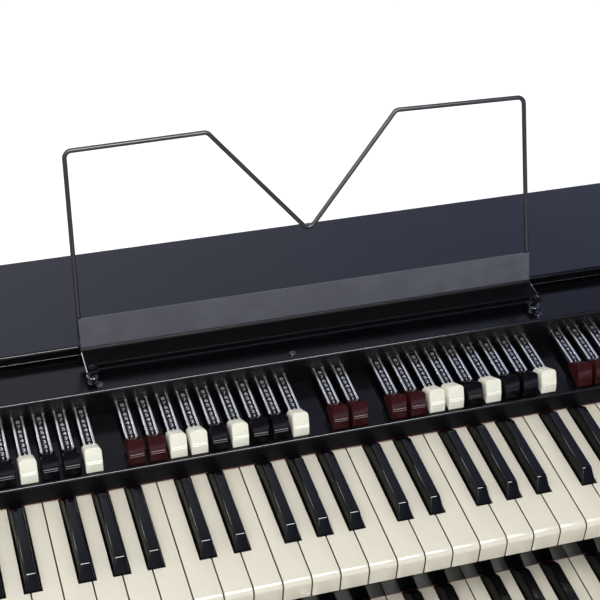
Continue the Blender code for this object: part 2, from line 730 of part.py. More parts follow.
def knob_outline():
    """Side view of a drawbar knob: upright heel, sloping foot on the deck, ridge above the bar."""
    deck = DECK_TOP + TOUCH_GAP
    return [
        (KNOB_BACK, BAR_TOP), (KNOB_BACK, BAR_TOP - KNOB_BACK_DROP),
        (KNOB_BACK - KNOB_HEEL_FORWARD, deck), (KNOB_BACK - KNOB_TOE_FORWARD, deck),
        (KNOB_BACK - KNOB_RIDGE_FORWARD, BAR_TOP + KNOB_RIDGE_UP),
    ]


def make_drawbar_mesh(colour):
    """One drawbar at X = 0: the channelled bar with its two raised rails, and the knob."""
    half = BAR_WIDTH / 2
    strip = half - BAR_RAIL_WIDTH
    recess = BAR_TOP - BAR_RECESS
    section = [(-half, BAR_BOTTOM), (half, BAR_BOTTOM), (half, BAR_TOP), (strip, BAR_TOP)]
    section += [(strip, recess), (-strip, recess), (-strip, BAR_TOP), (-half, BAR_TOP)]
    reach = (KNOB_BACK - BAR_IN_KNOB, RISER_FACE + BAR_INSIDE)
    bar = extruded("bar", section, *reach, "Y", DRAWBAR_COLOURS[colour])
    knob = extruded("knob", knob_outline(), -KNOB_WIDTH / 2, KNOB_WIDTH / 2, "X", DRAWBAR_COLOURS[colour])
    work = bmesh.new()
    work.from_mesh(knob.data)
    bmesh.ops.dissolve_limit(work, angle_limit=FLAT_ANGLE, verts=work.verts, edges=work.edges)
    bmesh.ops.bevel(work, geom=list(work.edges), offset=KNOB_EDGE, segments=1, affect="EDGES")
    work.to_mesh(knob.data)
    work.free()
    combine(bar, knob, "UNION")
    set_origin(bar, (0.0, KNOB_BACK, BAR_BOTTOM))
    mesh = bar.data.copy()
    mesh.name = colour + "_drawbar"
    bpy.data.objects.remove(bar, do_unlink=True)
    return mesh


def make_drawbars():
    meshes = {colour: make_drawbar_mesh(colour) for colour in DRAWBAR_COLOURS}
    for name, colour, place in drawbar_places():
        bar = bpy.data.objects.new(name, meshes[colour])
        bar.location = (place, KNOB_BACK, BAR_BOTTOM)
        PARTS.objects.link(bar)


def rest_top():
    """Upper edge of the music rest's plate, as (Y, Z)."""
    return (REST_BEND_Y + REST_PLATE_LENGTH * math.sin(REST_LEAN),
            LEDGE_TOP + REST_PLATE_LENGTH * math.cos(REST_LEAN))


def ear_centre():
    """Where a thumb screw stands, as (distance from the centre in X, Y)."""
    return REST_WIDTH / 2 - EAR_WIDTH / 2, REST_BEND_Y - REST_LEDGE - EAR_LENGTH / 2


def make_rest_plate():
    """Bent sheet of the music rest: leaning plate, ledge, front lip and two screw ears."""
    half = REST_WIDTH / 2
    ledge_front = REST_BEND_Y - REST_LEDGE
    path = [(ledge_front, LEDGE_TOP), (REST_BEND_Y, LEDGE_TOP), rest_top()]
    plate = folded_sheet("music_rest_plate", path, REST_SHEET, REST_FOLD_RADIUS, (-half, half), REST_GREY)
    under = LEDGE_TOP - REST_SHEET
    lip_half = half - EAR_WIDTH
    lip = box("lip", (-lip_half, lip_half), (ledge_front - REST_SHEET, ledge_front + REST_SHEET / 2),
              (LEDGE_TOP - REST_LIP, LEDGE_TOP - REST_SHEET / 4), REST_GREY)
    combine(plate, lip, "UNION")
    reach, ear_y = ear_centre()
    for side in (-1, 1):
        ends = sorted((side * (half - TOUCH_GAP), side * (half - EAR_WIDTH + TOUCH_GAP)))
        ear = box("ear", ends, (ledge_front - EAR_LENGTH, ledge_front + EAR_LENGTH / 2),
                  (under + EAR_SET_IN, LEDGE_TOP - EAR_SET_IN), REST_GREY)
        combine(plate, ear, "UNION")
        hole = cylinder("hole", SCREW_SHAFT_RADIUS + TOUCH_GAP, (side * reach, ear_y),
                        (under - REST_SHEET, LEDGE_TOP + REST_SHEET), REST_GREY)
        combine(plate, hole, "DIFFERENCE")
    return plate


def make_rest_wire():
    """Bent wire that holds the sheet music, sunk behind the plate at both ends."""
    offset = WIRE_DIAMETER / 2 + REST_SHEET + TOUCH_GAP
    top_y, top_z = rest_top()
    up = Vector((0.0, math.sin(REST_LEAN), math.cos(REST_LEAN)))
    behind = Vector((0.0, math.cos(REST_LEAN), -math.sin(REST_LEAN)))
    base = Vector((0.0, top_y, top_z)) + behind * offset
    half = REST_WIDTH / 2 - WIRE_INSET
    corners = [
        (-half, -WIRE_HIDDEN), (-half, WIRE_ABOVE_PLATE),
        (-WIRE_SHOULDER, WIRE_ABOVE_PLATE + WIRE_TOP_RISE), (0.0, WIRE_ABOVE_PLATE - WIRE_VALLEY),
        (WIRE_SHOULDER, WIRE_ABOVE_PLATE + WIRE_TOP_RISE), (half, WIRE_ABOVE_PLATE), (half, -WIRE_HIDDEN),
    ]
    route = round_corners(corners, WIRE_BEND)
    curve = bpy.data.curves.new("music_rest_wire", "CURVE")
    curve.dimensions = "3D"
    curve.bevel_depth = WIRE_DIAMETER / 2
    curve.bevel_resolution = WIRE_FACETS
    curve.use_fill_caps = True
    spline = curve.splines.new("POLY")
    spline.points.add(len(route) - 1)
    for point, place in zip(spline.points, route):
        spot = Vector((place[0], 0.0, 0.0)) + up * place[1] + base
        point.co = (*spot, 1.0)
    guide = bpy.data.objects.new("wire_route", curve)
    PARTS.objects.link(guide)
    bpy.context.view_layer.update()
    mesh = weld(mesh_from(guide))
    bpy.data.objects.remove(guide, do_unlink=True)
    wire = new_part("music_rest_wire", mesh, WIRE_GREY)
    wire.data.shade_smooth()
    return wire


def panel_level(depth):
    """Height of the control panel's top face at a given Y."""
    return PANEL_TOP_FRONT + PANEL_RISE * (depth - RISER_FACE) / PANEL_DEPTH


def make_thumb_screws():
    """Turned screws with a knurled collar, which hold the rest's ears above the panel."""
    reach, ear_y = ear_centre()
    foot = panel_level(ear_y + COLLAR_RADIUS) + TOUCH_GAP
    head = LEDGE_TOP + TOUCH_GAP
    profile = [
        (0.0, head + SCREW_HEAD_HEIGHT), (SCREW_TOP_RADIUS, head + SCREW_HEAD_HEIGHT),
        (SCREW_HEAD_RADIUS, head + SCREW_HEAD_HEIGHT / 2), (SCREW_HEAD_RADIUS, head),
        (SCREW_SHAFT_RADIUS, head), (SCREW_SHAFT_RADIUS, foot + COLLAR_HEIGHT),
        (COLLAR_RADIUS, foot + COLLAR_HEIGHT), (COLLAR_RADIUS, foot), (0.0, foot),
    ]
    for side, name in ((-1, "thumb_screw_left"), (1, "thumb_screw_right")):
        mesh = bpy.data.meshes.new(name)
        rows = [(radius, 0.0, level) for radius, level in profile]
        mesh.from_pydata(rows, [(step, step + 1) for step in range(len(rows) - 1)], [])
        screw = new_part(name, mesh, SCREW_STEEL)
        screw.location = (side * reach, ear_y, 0.0)
        turn = screw.modifiers.new("turn", "SCREW")
        turn.steps = ROUND_SIDES
        turn.render_steps = ROUND_SIDES
        turn.use_merge_vertices = True
        turn.merge_threshold = 0.00001


def make_volume_knob():
    """Volume knob with a raised pointer on the upper left block; its origin is on its shaft."""
    centre = (KEYS_LEFT - VOLUME_INSET, UPPER_BACK_LINE - NATURAL_LENGTH / 2)
    low = UPPER_KEY_TOP + BLOCK_ABOVE_KEYS + TOUCH_GAP
    knob = cylinder("volume_knob", VOLUME_RADIUS, centre, (low, low + VOLUME_HEIGHT), KNOB_BLACK)
    pointer = box("pointer", (centre[0] - POINTER_WIDTH / 2, centre[0] + POINTER_WIDTH / 2),
                  (centre[1], centre[1] + VOLUME_RADIUS + POINTER_PROUD),
                  (low + VOLUME_HEIGHT / 2, low + VOLUME_HEIGHT + POINTER_PROUD), KNOB_BLACK)
    combine(knob, pointer, "UNION")
    return set_origin(knob, (*centre, low))


def make_speed_lever():
    """Half-moon rotor speed lever on the lower left block, with its origin on its pivot."""
    centre = (KEYS_LEFT - LEVER_INSET, LOWER_BACK_LINE - LEVER_FROM_BACK_LINE)
    low = LOWER_KEY_TOP + BLOCK_ABOVE_KEYS + TOUCH_GAP
    disc = arc(centre, LEVER_RADIUS, 0.0, math.pi, LEVER_STEPS)
    lever = extruded("rotor_speed_lever", disc, low, low + LEVER_HEIGHT, "Z", KNOB_BLACK)
    half = LEVER_HANDLE_WIDTH / 2
    handle = box("handle", (centre[0] - half, centre[0] + half),
                 (centre[1] - LEVER_HANDLE_LENGTH, centre[1] + LEVER_RADIUS / 2),
                 (low + LEVER_HEIGHT / 4, low + LEVER_HEIGHT + LEVER_HANDLE_PROUD), KNOB_BLACK)
    combine(lever, handle, "UNION")
    return set_origin(lever, (*centre, low))


def make_main_board():
    """Sound board on its stand-offs, with its processor block."""
    left = -BOARD_LENGTH / 2
    front = RISER_FACE + DECK_TUCK
    low = FLOOR_TOP + TOUCH_GAP + BOARD_STAND_OFF
    board = box("main_board", (left, left + BOARD_LENGTH), (front, front + BOARD_DEPTH),
                (low, low + BOARD_THICKNESS), BOARD_GREEN)
    chip_front = front + (BOARD_DEPTH - CHIP_SIDE) / 2
    chip = box("chip", (-CHIP_SIDE / 2, CHIP_SIDE / 2), (chip_front, chip_front + CHIP_SIDE),
               (low + BOARD_THICKNESS / 2, low + BOARD_THICKNESS + CHIP_HEIGHT), BOARD_GREEN)
    combine(board, chip, "UNION")
    for x in (left + STAND_OFF_INSET, left + BOARD_LENGTH - STAND_OFF_INSET):
        for y in (front + STAND_OFF_INSET, front + BOARD_DEPTH - STAND_OFF_INSET):
            reach = (FLOOR_TOP + TOUCH_GAP, low + BOARD_THICKNESS / 2)
            leg = cylinder("leg", STAND_OFF_RADIUS, (x, y), reach, BOARD_GREEN)
            combine(board, leg, "UNION")
    return board


def build_organ():
    make_base_pan()
    make_rear_panel()
    make_mains_inlet()
    make_end_block("left_end_block", -CASE_WIDTH / 2, INNER_LEFT, KEYS_LEFT - KEY_SIDE_ROOM)
    make_end_block("right_end_block", CASE_WIDTH / 2, INNER_RIGHT, KEYS_RIGHT + KEY_SIDE_ROOM)
    make_front_rail()
    make_lower_key_frame()
    make_upper_key_frame()
    make_naturals("lower_naturals", LOWER_BACK_LINE, LOWER_KEY_TOP)
    make_sharps("lower_sharps", LOWER_BACK_LINE, LOWER_KEY_TOP)
    make_naturals("upper_naturals", UPPER_BACK_LINE, UPPER_KEY_TOP)
    make_sharps("upper_sharps", UPPER_BACK_LINE, UPPER_KEY_TOP)
    make_drawbar_deck()
    make_control_panel()
    make_drawbars()
    make_top_lid()
    make_rest_plate()
    make_rest_wire()
    make_thumb_screws()
    make_volume_knob()
    make_speed_lever()
    make_main_board()


build_organ()
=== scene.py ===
import json
import math
from contextlib import contextmanager
import bmesh
import bpy
from mathutils import Matrix, Vector


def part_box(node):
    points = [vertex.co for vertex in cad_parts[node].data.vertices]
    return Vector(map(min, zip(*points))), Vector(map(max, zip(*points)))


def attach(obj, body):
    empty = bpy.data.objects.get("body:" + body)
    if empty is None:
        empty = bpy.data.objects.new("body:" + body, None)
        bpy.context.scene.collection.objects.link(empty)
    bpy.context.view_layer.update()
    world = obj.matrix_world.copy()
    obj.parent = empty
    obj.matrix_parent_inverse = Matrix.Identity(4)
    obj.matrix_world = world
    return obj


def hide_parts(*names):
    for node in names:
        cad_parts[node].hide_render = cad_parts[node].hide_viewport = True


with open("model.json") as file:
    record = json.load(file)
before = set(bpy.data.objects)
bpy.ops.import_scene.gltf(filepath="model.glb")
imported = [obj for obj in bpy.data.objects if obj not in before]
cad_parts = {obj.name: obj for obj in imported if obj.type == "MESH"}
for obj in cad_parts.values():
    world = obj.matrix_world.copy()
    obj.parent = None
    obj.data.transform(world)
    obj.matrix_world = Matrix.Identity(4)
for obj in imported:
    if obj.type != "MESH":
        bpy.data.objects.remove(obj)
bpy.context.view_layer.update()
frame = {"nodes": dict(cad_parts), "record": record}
scene = bpy.context.scene
bodyOf = {node: body for body, nodes in frame["record"]["behaviour"]["bodies"].items() for node in nodes}
slotOf = {part["node"]: part["material_slot"] for part in frame["record"]["subparts"]}
print("organ: frame loaded,", len(frame["nodes"]), "nodes")

mm = 0.001
hair = 0.1 * mm  # pieces that are joined sink into each other by this, others stay clear by it
far = 50 * mm  # how far a cutting shape reaches past what it cuts
quarterTurn = math.pi / 2


def linear(hexText):  # sRGB hex to linear light
    channels = []
    for place in (1, 3, 5):
        value = int(hexText[place:place + 2], 16) / 255
        channels.append(value / 12.92 if value <= 0.04045 else ((value + 0.055) / 1.055) ** 2.4)
    return (*channels, 1.0)


def addNode(tree, kind, settings=None, links=None):  # gives the node's outputs
    made = tree.nodes.new(kind)
    for key, value in (settings or {}).items():
        if isinstance(key, int) or key in made.inputs:
            made.inputs[key].default_value = value
        else:
            setattr(made, key, value)
    for key, sources in (links or {}).items():
        for source in sources if isinstance(sources, tuple) else (sources,):
            tree.links.new(source, made.inputs[key])
    return made.outputs


def newFinish(name):
    finish = bpy.data.materials.new(name)
    finish.use_nodes = True
    return finish, finish.node_tree, finish.node_tree.nodes["Principled BSDF"]


def dressShader(tree, shader, sources, values):  # varying sockets are linked, even ones are set on the shader
    for socket, source in sources.items():
        tree.links.new(source, shader.inputs[socket])
    for socket, value in values.items():
        shader.inputs[socket].default_value = value


# two colours drift into each other, smears vary the gloss between two roughnesses and a grain lifts the skin;
# the sizes of drift, smear and grain are real ones in millimetres
def makeFinish(name, colour, other, drift, smear, rough, grain, bump, metallic=0, gloss=0.5, ior=1.5, sheen=0):
    finish, tree, shader = newFinish(name)
    coords = addNode(tree, "ShaderNodeTexCoord")["Object"]
    noises = []
    for size, detail, roughness in ((drift, 3.0, 0.6), (smear, 4.0, 0.65), (grain, 2.0, 0.5)):
        noise = addNode(tree, "ShaderNodeTexNoise",
                        {"Scale": 1 / (size * mm), "Detail": detail, "Roughness": roughness}, {"Vector": coords})
        noises.append(noise["Fac"])
    tone = addNode(tree, "ShaderNodeMix", {"data_type": "RGBA", 6: linear(colour), 7: linear(other)}, {0: noises[0]})
    spread = addNode(tree, "ShaderNodeMapRange",
                     {"From Min": 0.3, "From Max": 0.7, "To Min": rough[0], "To Max": rough[1]}, {"Value": noises[1]})
    skin = addNode(tree, "ShaderNodeBump", {"Strength": bump, "Distance": grain * mm / 10}, {"Height": noises[2]})
    dressShader(tree, shader, {"Base Color": tone[2], "Roughness": spread["Result"], "Normal": skin["Normal"]}, {
        "Metallic": metallic, "Specular IOR Level": gloss, "IOR": ior, "Sheen Weight": sheen, "Sheen Roughness": 0.4})
    return finish


# satin powder coat on steel: slight orange peel spreads the reflections into a bluish sheen
lidCoat = makeFinish("satinPowderCoatLid", "#090c18", "#0c0f1d", 90, 35, (0.26, 0.33), 0.9, 0.04, gloss=0.58)
# the same coat, smoother, on the case: darker, clearer mirror images
caseCoat = makeFinish("satinPowderCoatCase", "#060609", "#09090d", 80, 30, (0.14, 0.2), 0.9, 0.03, gloss=0.34)
# stoved enamel on the deck: glossier than the case and a little wavy
deckEnamel = makeFinish("glossEnamelDeck", "#050508", "#08080c", 70, 25, (0.17, 0.23), 2.5, 0.03, gloss=0.22)
# enamel sprayed dry on fascia and riser: duller than the flat faces
fasciaCoat = makeFinish("mattEnamelUprights", "#08080b", "#0c0c10", 70, 25, (0.34, 0.44), 0.8, 0.06, gloss=0.11)
# flat, nearly black coat on the ledge where the music stands and on the lid's front: its dark colour is painted shade
ledgeShadeCoat = makeFinish("mattCoatLedge", "#050507", "#08080b", 50, 15, (0.4, 0.5), 0.8, 0.08, gloss=0.05)
# satin powder coat on the leaning plate: it catches the lamp and looks greyer
restCoat = makeFinish("satinPowderCoatRest", "#0b0b0f", "#0f0f14", 60, 18, (0.2, 0.27), 0.8, 0.04, gloss=0.56)
# powder coat on bent rod: a soft light line along the wire
wireCoat = makeFinish("satinPowderCoatWire", "#141419", "#1a1a20", 40, 10, (0.28, 0.38), 0.7, 0.08)
# coarse powder coat on the floor tray: matt, with a visible peel
panCoat = makeFinish("mattPowderCoatTray", "#141416", "#1a1a1c", 70, 25, (0.48, 0.62), 1.1, 0.2)
# zinc-plated steel: dull plating with spangles
zincPlate = makeFinish("zincPlatedSteel", "#8f9294", "#a9acae", 8, 6, (0.34, 0.5), 1.5, 0.08, 1.0)
# black nickel on turned screws: dark and bright at once
blackNickel = makeFinish("blackNickelSteel", "#66666b", "#77777c", 2, 1.5, (0.16, 0.26), 0.4, 0.04, 1.0)
# oil-blackened steel of the thumb screws' stems: darker and softer than the nickel
blackSteel = makeFinish("blackenedSteel", "#1f1f23", "#2a2a2e", 2, 1.5, (0.24, 0.36), 0.4, 0.04, 1.0)
# polished chrome with faint rub marks: mirrors the studio, a little blurred
chromePlate = makeFinish("brightChromeRails", "#f3f1ea", "#fbf9f2", 6, 4, (0.2, 0.26), 0.6, 0.02, 1.0)
# cast acrylic key tops: warm white under a soft polish
ivoryAcrylic = makeFinish("polishedIvoryKeys", "#ebe5d2", "#f1ecdc", 45, 20, (0.16, 0.26), 3.0, 0.03, ior=1.49)
# the keys' side faces, duller than the tops: their dark, yellowish colour is painted shade, so the gaps between the
# keys look dark and warm
keyFlankShade = makeFinish("mouldedKeyBody", "#5e5238", "#6a5e44", 30, 12, (0.45, 0.6), 0.8, 0.1)
# cast black acrylic: narrow, clear highlights
ebonyAcrylic = makeFinish(
    "polishedBlackKeys", "#07070a", "#0a0a0e", 30, 15, (0.06, 0.12), 2.5, 0.02, gloss=0.34, ior=1.49)
# moulded flanks of the same keys, not polished: no highlights
ebonySides = makeFinish(
    "mattBlackKeySides", "#050507", "#08080a", 30, 15, (0.38, 0.5), 0.6, 0.1, gloss=0.15, ior=1.49)
# moulded phenolic: dark red-brown with a weak soft sheen
brownPlastic = makeFinish("mouldedBrownKnob", "#331316", "#3e1819", 9, 5, (0.12, 0.19), 1.4, 0.02, gloss=0.09)
# moulded urea plastic: clean cream, evenly lit
creamPlastic = makeFinish("mouldedCreamKnob", "#fbf9e6", "#fefdf0", 10, 5, (0.22, 0.34), 0.9, 0.06, gloss=0.3)
# moulded phenolic in black: the brown knobs' sheen
blackPlastic = makeFinish("mouldedBlackKnob", "#09090d", "#0e0d13", 9, 5, (0.12, 0.19), 1.4, 0.02, gloss=0.09)
# printed vinyl film between the rails: dull black, so the numbers stand out
stripVinyl = makeFinish("blackNumberStrip", "#050506", "#08080a", 6, 4, (0.5, 0.6), 0.5, 0.04, gloss=0.12)
# hot-stamped foil: the numbers mirror the same surroundings as the rails beside them
silverFoil = makeFinish("hotStampedSilverFoil", "#e8e8e4", "#f4f4f0", 1.5, 1.0, (0.28, 0.36), 0.3, 0.03, 1.0)
# nylon guide pressed into each slot: a thin matt grey rim
slotLiner = makeFinish("greyNylonLiner", "#1e1f24", "#282930", 4, 2, (0.4, 0.52), 0.5, 0.1, ior=1.53)
# screen-printed ink: flat white
whitePrint = makeFinish("whiteScreenPrint", "#dcdcd8", "#e8e8e4", 1.5, 1.0, (0.4, 0.55), 0.3, 0.05)
# ABS from a spark-eroded mould: a fine grain breaks every highlight
controlPlastic = makeFinish("texturedBlackControl", "#101012", "#161618", 6, 3, (0.42, 0.55), 0.5, 0.35)
# plain moulded socket: even, matt black
socketPlastic = makeFinish("mouldedSocket", "#111113", "#18181a", 5, 3, (0.38, 0.5), 0.6, 0.15)
# moulded nitrile rubber: dull and slightly dusty
footRubber = makeFinish("mouldedRubberFoot", "#17171a", "#222225", 7, 4, (0.7, 0.85), 0.6, 0.3, ior=1.52)
# solder mask on the sound board: green with a half gloss
boardMask = makeFinish("solderMaskBoard", "#0f3d22", "#14482a", 4, 3, (0.3, 0.45), 0.7, 0.2)
# dense wool felt: its fibres lift a soft sheen off a deep maroon
felt = makeFinish("maroonWoolFelt", "#561019", "#6a1722", 2.5, 1.5, (0.85, 0.95), 0.5, 0.8, sheen=0.6)

wood = {
    "dark": "#0a0a0c", "light": "#191a1e", "inPores": "#050506", "poreMm": 1.4, "bandMm": 11, "poreDepthMm": 0.08,
    "stretch": (1.0, 0.06, 1.0), "poresOpen": (0.58, 0.66), "poreDarkness": 0.7, "rough": (0.3, 0.42), "gloss": 0.34,
}


def lacqueredWood():  # black-stained ash under satin lacquer: the pores show as fine lines along the grain
    finish, tree, shader = newFinish("blackStainedAsh")
    coords = addNode(tree, "ShaderNodeTexCoord")["Object"]
    along = addNode(tree, "ShaderNodeMapping", {"Scale": wood["stretch"]}, {"Vector": coords})["Vector"]
    pores = addNode(tree, "ShaderNodeTexNoise",
                    {"Scale": 1 / (wood["poreMm"] * mm), "Detail": 4.0, "Roughness": 0.7}, {"Vector": along})
    bands = addNode(tree, "ShaderNodeTexNoise",
                    {"Scale": 1 / (wood["bandMm"] * mm), "Detail": 3.0, "Distortion": 0.6}, {"Vector": along})
    tone = addNode(tree, "ShaderNodeMix",
                   {"data_type": "RGBA", 6: linear(wood["dark"]), 7: linear(wood["light"])}, {0: bands["Fac"]})
    pits = addNode(tree, "ShaderNodeMapRange", {
        "From Min": wood["poresOpen"][0], "From Max": wood["poresOpen"][1], "To Min": 0.0,
        "To Max": wood["poreDarkness"]}, {"Value": pores["Fac"]})
    grained = addNode(tree, "ShaderNodeMix", {"data_type": "RGBA", 7: linear(wood["inPores"])},
                      {0: pits["Result"], 6: tone[2]})
    sheen = addNode(tree, "ShaderNodeMapRange", {"To Min": wood["rough"][0], "To Max": wood["rough"][1]},
                    {"Value": bands["Fac"]})
    bump = addNode(tree, "ShaderNodeBump", {"Strength": 0.25, "Distance": wood["poreDepthMm"] * mm, "invert": True},
                   {"Height": pits["Result"]})
    dressShader(tree, shader, {"Base Color": grained[2], "Roughness": sheen["Result"], "Normal": bump["Normal"]},
                {"IOR": 1.5, "Specular IOR Level": wood["gloss"]})
    return finish


stainedAsh = lacqueredWood()
print("organ: finishes made")


def newPiece(name, mesh, *finishes):
    mesh.name = name
    if finishes:
        mesh.materials.clear()
        for finish in finishes:
            mesh.materials.append(finish)
    piece = bpy.data.objects.new(name, mesh)
    scene.collection.objects.link(piece)
    return piece


def plainMesh(source):  # the evaluated shape as a mesh of its own
    bpy.context.view_layer.update()
    return bpy.data.meshes.new_from_object(source.evaluated_get(bpy.context.evaluated_depsgraph_get()))


@contextmanager
def reworked(mesh):
    work = bmesh.new()
    work.from_mesh(mesh)
    yield work
    work.to_mesh(mesh)
    work.free()


def bakeModifiers(piece):
    old, mesh = piece.data, plainMesh(piece)
    piece.modifiers.clear()
    piece.data = mesh
    bpy.data.meshes.remove(old)


def smoothed(piece, limit):  # edges sharper than the limit, in degrees, stay hard
    piece.data.shade_smooth()
    with reworked(piece.data) as work:
        work.normal_update()
        for edge in work.edges:
            edge.smooth = len(edge.link_faces) != 2 or edge.calc_face_angle(0.0) <= math.radians(limit)
    return piece


def roundEdges(piece, width, segments, limit):
    bevel = piece.modifiers.new("roundedEdges", "BEVEL")
    bevel.width, bevel.segments = width, segments
    bevel.limit_method, bevel.angle_limit = "ANGLE", math.radians(limit)
    bakeModifiers(piece)
    return smoothed(piece, limit)


def cut(piece, cutter, operation="DIFFERENCE"):
    boolean = piece.modifiers.new("cut", "BOOLEAN")
    boolean.operation, boolean.solver, boolean.object = operation, "EXACT", cutter
    bakeModifiers(piece)
    bpy.data.objects.remove(cutter, do_unlink=True)
    return piece


def tidied(mesh, flat):  # one closed surface, areas flatter than so many radians merged, faces outwards
    with reworked(mesh) as work:
        bmesh.ops.remove_doubles(work, verts=work.verts, dist=hair / 10)
        bmesh.ops.dissolve_limit(work, angle_limit=flat, verts=work.verts, edges=work.edges)
        bmesh.ops.recalc_face_normals(work, faces=work.faces)
    return mesh


def boxLoop(low, high):
    return [(low[0], low[1]), (high[0], low[1]), (high[0], high[1]), (low[0], high[1])]


def arcPoints(centre, radius, start, end, steps):
    angles = [start + (end - start) * step / steps for step in range(steps + 1)]
    return [(centre[0] + radius * math.cos(angle), centre[1] + radius * math.sin(angle)) for angle in angles]


def filletPath(path, radius, steps):  # every corner of the path turned round an arc
    result = [Vector(path[0])]
    for before, corner, after in zip(path, path[1:], path[2:]):
        corner = Vector(corner)
        back = (Vector(before) - corner).normalized()
        ahead = (Vector(after) - corner).normalized()
        half = back.angle(ahead) / 2
        centre = corner + (back + ahead).normalized() * (radius / math.sin(half))
        first = corner + back * (radius / math.tan(half)) - centre
        last = corner + ahead * (radius / math.tan(half)) - centre
        for step in range(steps + 1):
            result.append(centre + first.slerp(last, step / steps).normalized() * radius)
    result.append(Vector(path[-1]))
    return result


def offsetLine(path, depth):  # the line that runs beside the path, on its right
    beside = []
    for index, point in enumerate(path):
        ahead = path[min(index + 1, len(path) - 1)] - path[max(index - 1, 0)]
        side = Vector((ahead.y, -ahead.x)).normalized()
        if 0 < index < len(path) - 1:
            run = (path[index] - path[index - 1]).normalized()
            side = side / max(side.dot(Vector((run.y, -run.x))), 0.5)
        beside.append(point + side * depth)
    return beside


def sheetLoop(path, thickness, eased=0.0):  # the outline of a folded sheet, drawn in by the eased depth
    face = offsetLine(path, eased)
    return face + offsetLine(face, thickness - 2 * eased)[::-1]


def skinRings(name, rings, *finishes, joined=False):  # rings of points under one skin; one point alone is a pole
    mesh = bpy.data.meshes.new(name)
    with reworked(mesh) as work:
        rows = [[work.verts.new(point) for point in ring] for ring in rings]
        for here, there in zip(rows, rows[1:] + (rows[:1] if joined else [])):
            count = max(len(here), len(there))
            for side in range(count):
                after = (side + 1) % count
                spots = ((here, side), (here, after), (there, after), (there, side))
                work.faces.new(list(dict.fromkeys(row[spot % len(row)] for row, spot in spots)))
        for row in (rows[0], rows[-1]):
            if len(row) > 2 and not joined:
                work.faces.new(row)
        bmesh.ops.recalc_face_normals(work, faces=work.faces)
    return newPiece(name, mesh, *finishes)


def prism(name, loop, low, high, along, *finishes):  # an outline in the two other axes, drawn along one
    axis = "XYZ".index(along)
    rings = [[(*spot[:axis], level, *spot[axis:]) for spot in loop] for level in (low, high)]
    return skinRings(name, rings, *finishes)


# rows of radius, height and, where there are waves, their depth, turned round an upright axis
def turned(name, centre, rows, sides, finish, waves=0, limit=40.0, joined=False):
    rings = []
    for row in rows:
        radius, height, depth = (*row, 0.0)[:3]
        ring = []
        for side in range(sides if radius else 1):
            angle = 2 * math.pi * side / sides
            reach = radius - depth * (0.5 - 0.5 * math.cos(waves * angle))
            ring.append((centre[0] + reach * math.cos(angle), centre[1] + reach * math.sin(angle), height))
        rings.append(ring)
    return smoothed(skinRings(name, rings, finish, joined=joined), limit)


def mergeInto(target, *others):  # one object from several, with their finishes kept apart
    finishes = target.data.materials
    with reworked(target.data) as work:
        for other in others:
            start = len(work.faces)
            work.from_mesh(other.data)
            work.faces.ensure_lookup_table()
            for finish in other.data.materials:
                if finish not in list(finishes):
                    finishes.append(finish)
            places = [list(finishes).index(finish) for finish in other.data.materials]
            for face in work.faces[start:]:
                face.material_index = places[face.material_index]
            bpy.data.objects.remove(other, do_unlink=True)
    return target


def finishWhere(piece, finish, test):  # another finish on the faces that a test picks by direction and place
    mesh = piece.data
    mesh.materials.append(finish)
    for face in mesh.polygons:
        if test(face.normal, face.center):
            face.material_index = len(mesh.materials) - 1


def standFor(piece, node):
    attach(piece, bodyOf[node])
    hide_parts(node)
    return piece


def middleOf(node):
    low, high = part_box(node)
    return (low + high) / 2


def newTree(name, inputs):
    tree = bpy.data.node_groups.new(name, "GeometryNodeTree")
    tree.interface.new_socket("Geometry", in_out="INPUT", socket_type="NodeSocketGeometry")
    for label, kind in inputs.items():
        tree.interface.new_socket(label, in_out="INPUT", socket_type="NodeSocket" + kind)
    tree.interface.new_socket("Geometry", in_out="OUTPUT", socket_type="NodeSocketGeometry")
    return tree, tree.nodes.new("NodeGroupInput").outputs


def closeTree(tree, geometry, *coats):  # real geometry with its finishes on it
    last = addNode(tree, "GeometryNodeRealizeInstances", {}, {0: geometry})
    for coat in coats:
        last = addNode(tree, "GeometryNodeSetMaterial", {}, {"Geometry": last[0], **coat})
    addNode(tree, "NodeGroupOutput", {}, {0: last[0]})
    return tree


def runTree(name, points, tree, values):  # evaluates the tree on loose points and keeps a plain mesh
    base = bpy.data.meshes.new(name + "Base")
    base.from_pydata(points, [], [])
    holder = newPiece(name + "Base", base)
    modifier = holder.modifiers.new("nodes", "NODES")
    modifier.node_group = tree
    for item in tree.interface.items_tree:
        if item.item_type == "SOCKET" and item.in_out == "INPUT" and item.name in values:
            modifier[item.identifier] = values[item.name]
    piece = newPiece(name, plainMesh(holder))
    bpy.data.objects.remove(holder, do_unlink=True)
    return piece


def shelved(name, *pieces):  # sources of instances leave the scene's own collection
    collection = bpy.data.collections.new(name)
    for piece in pieces:
        scene.collection.objects.unlink(piece)
        collection.objects.link(piece)
    return collection


def copiesTree(name):  # one source object at every point
    tree, given = newTree(name, {"Source": "Object", "Finish": "Material"})
    source = addNode(tree, "GeometryNodeObjectInfo", {"As Instance": True}, {"Object": given["Source"]})
    copies = addNode(tree, "GeometryNodeInstanceOnPoints", {},
                     {"Points": given["Geometry"], "Instance": source["Geometry"]})
    return closeTree(tree, copies[0], {"Material": given["Finish"]})


view = {  # the photograph's camera: place in metres, angles in degrees, the rest in the camera's own units
    "place": (-0.35403, -0.83793, 1.01475), "turn": 19.4175, "down": 38.5592, "roll": 3.8066,
    "lens": 89.667, "sensor": 36.0, "nearest": 0.01, "furthest": 50.0,
}


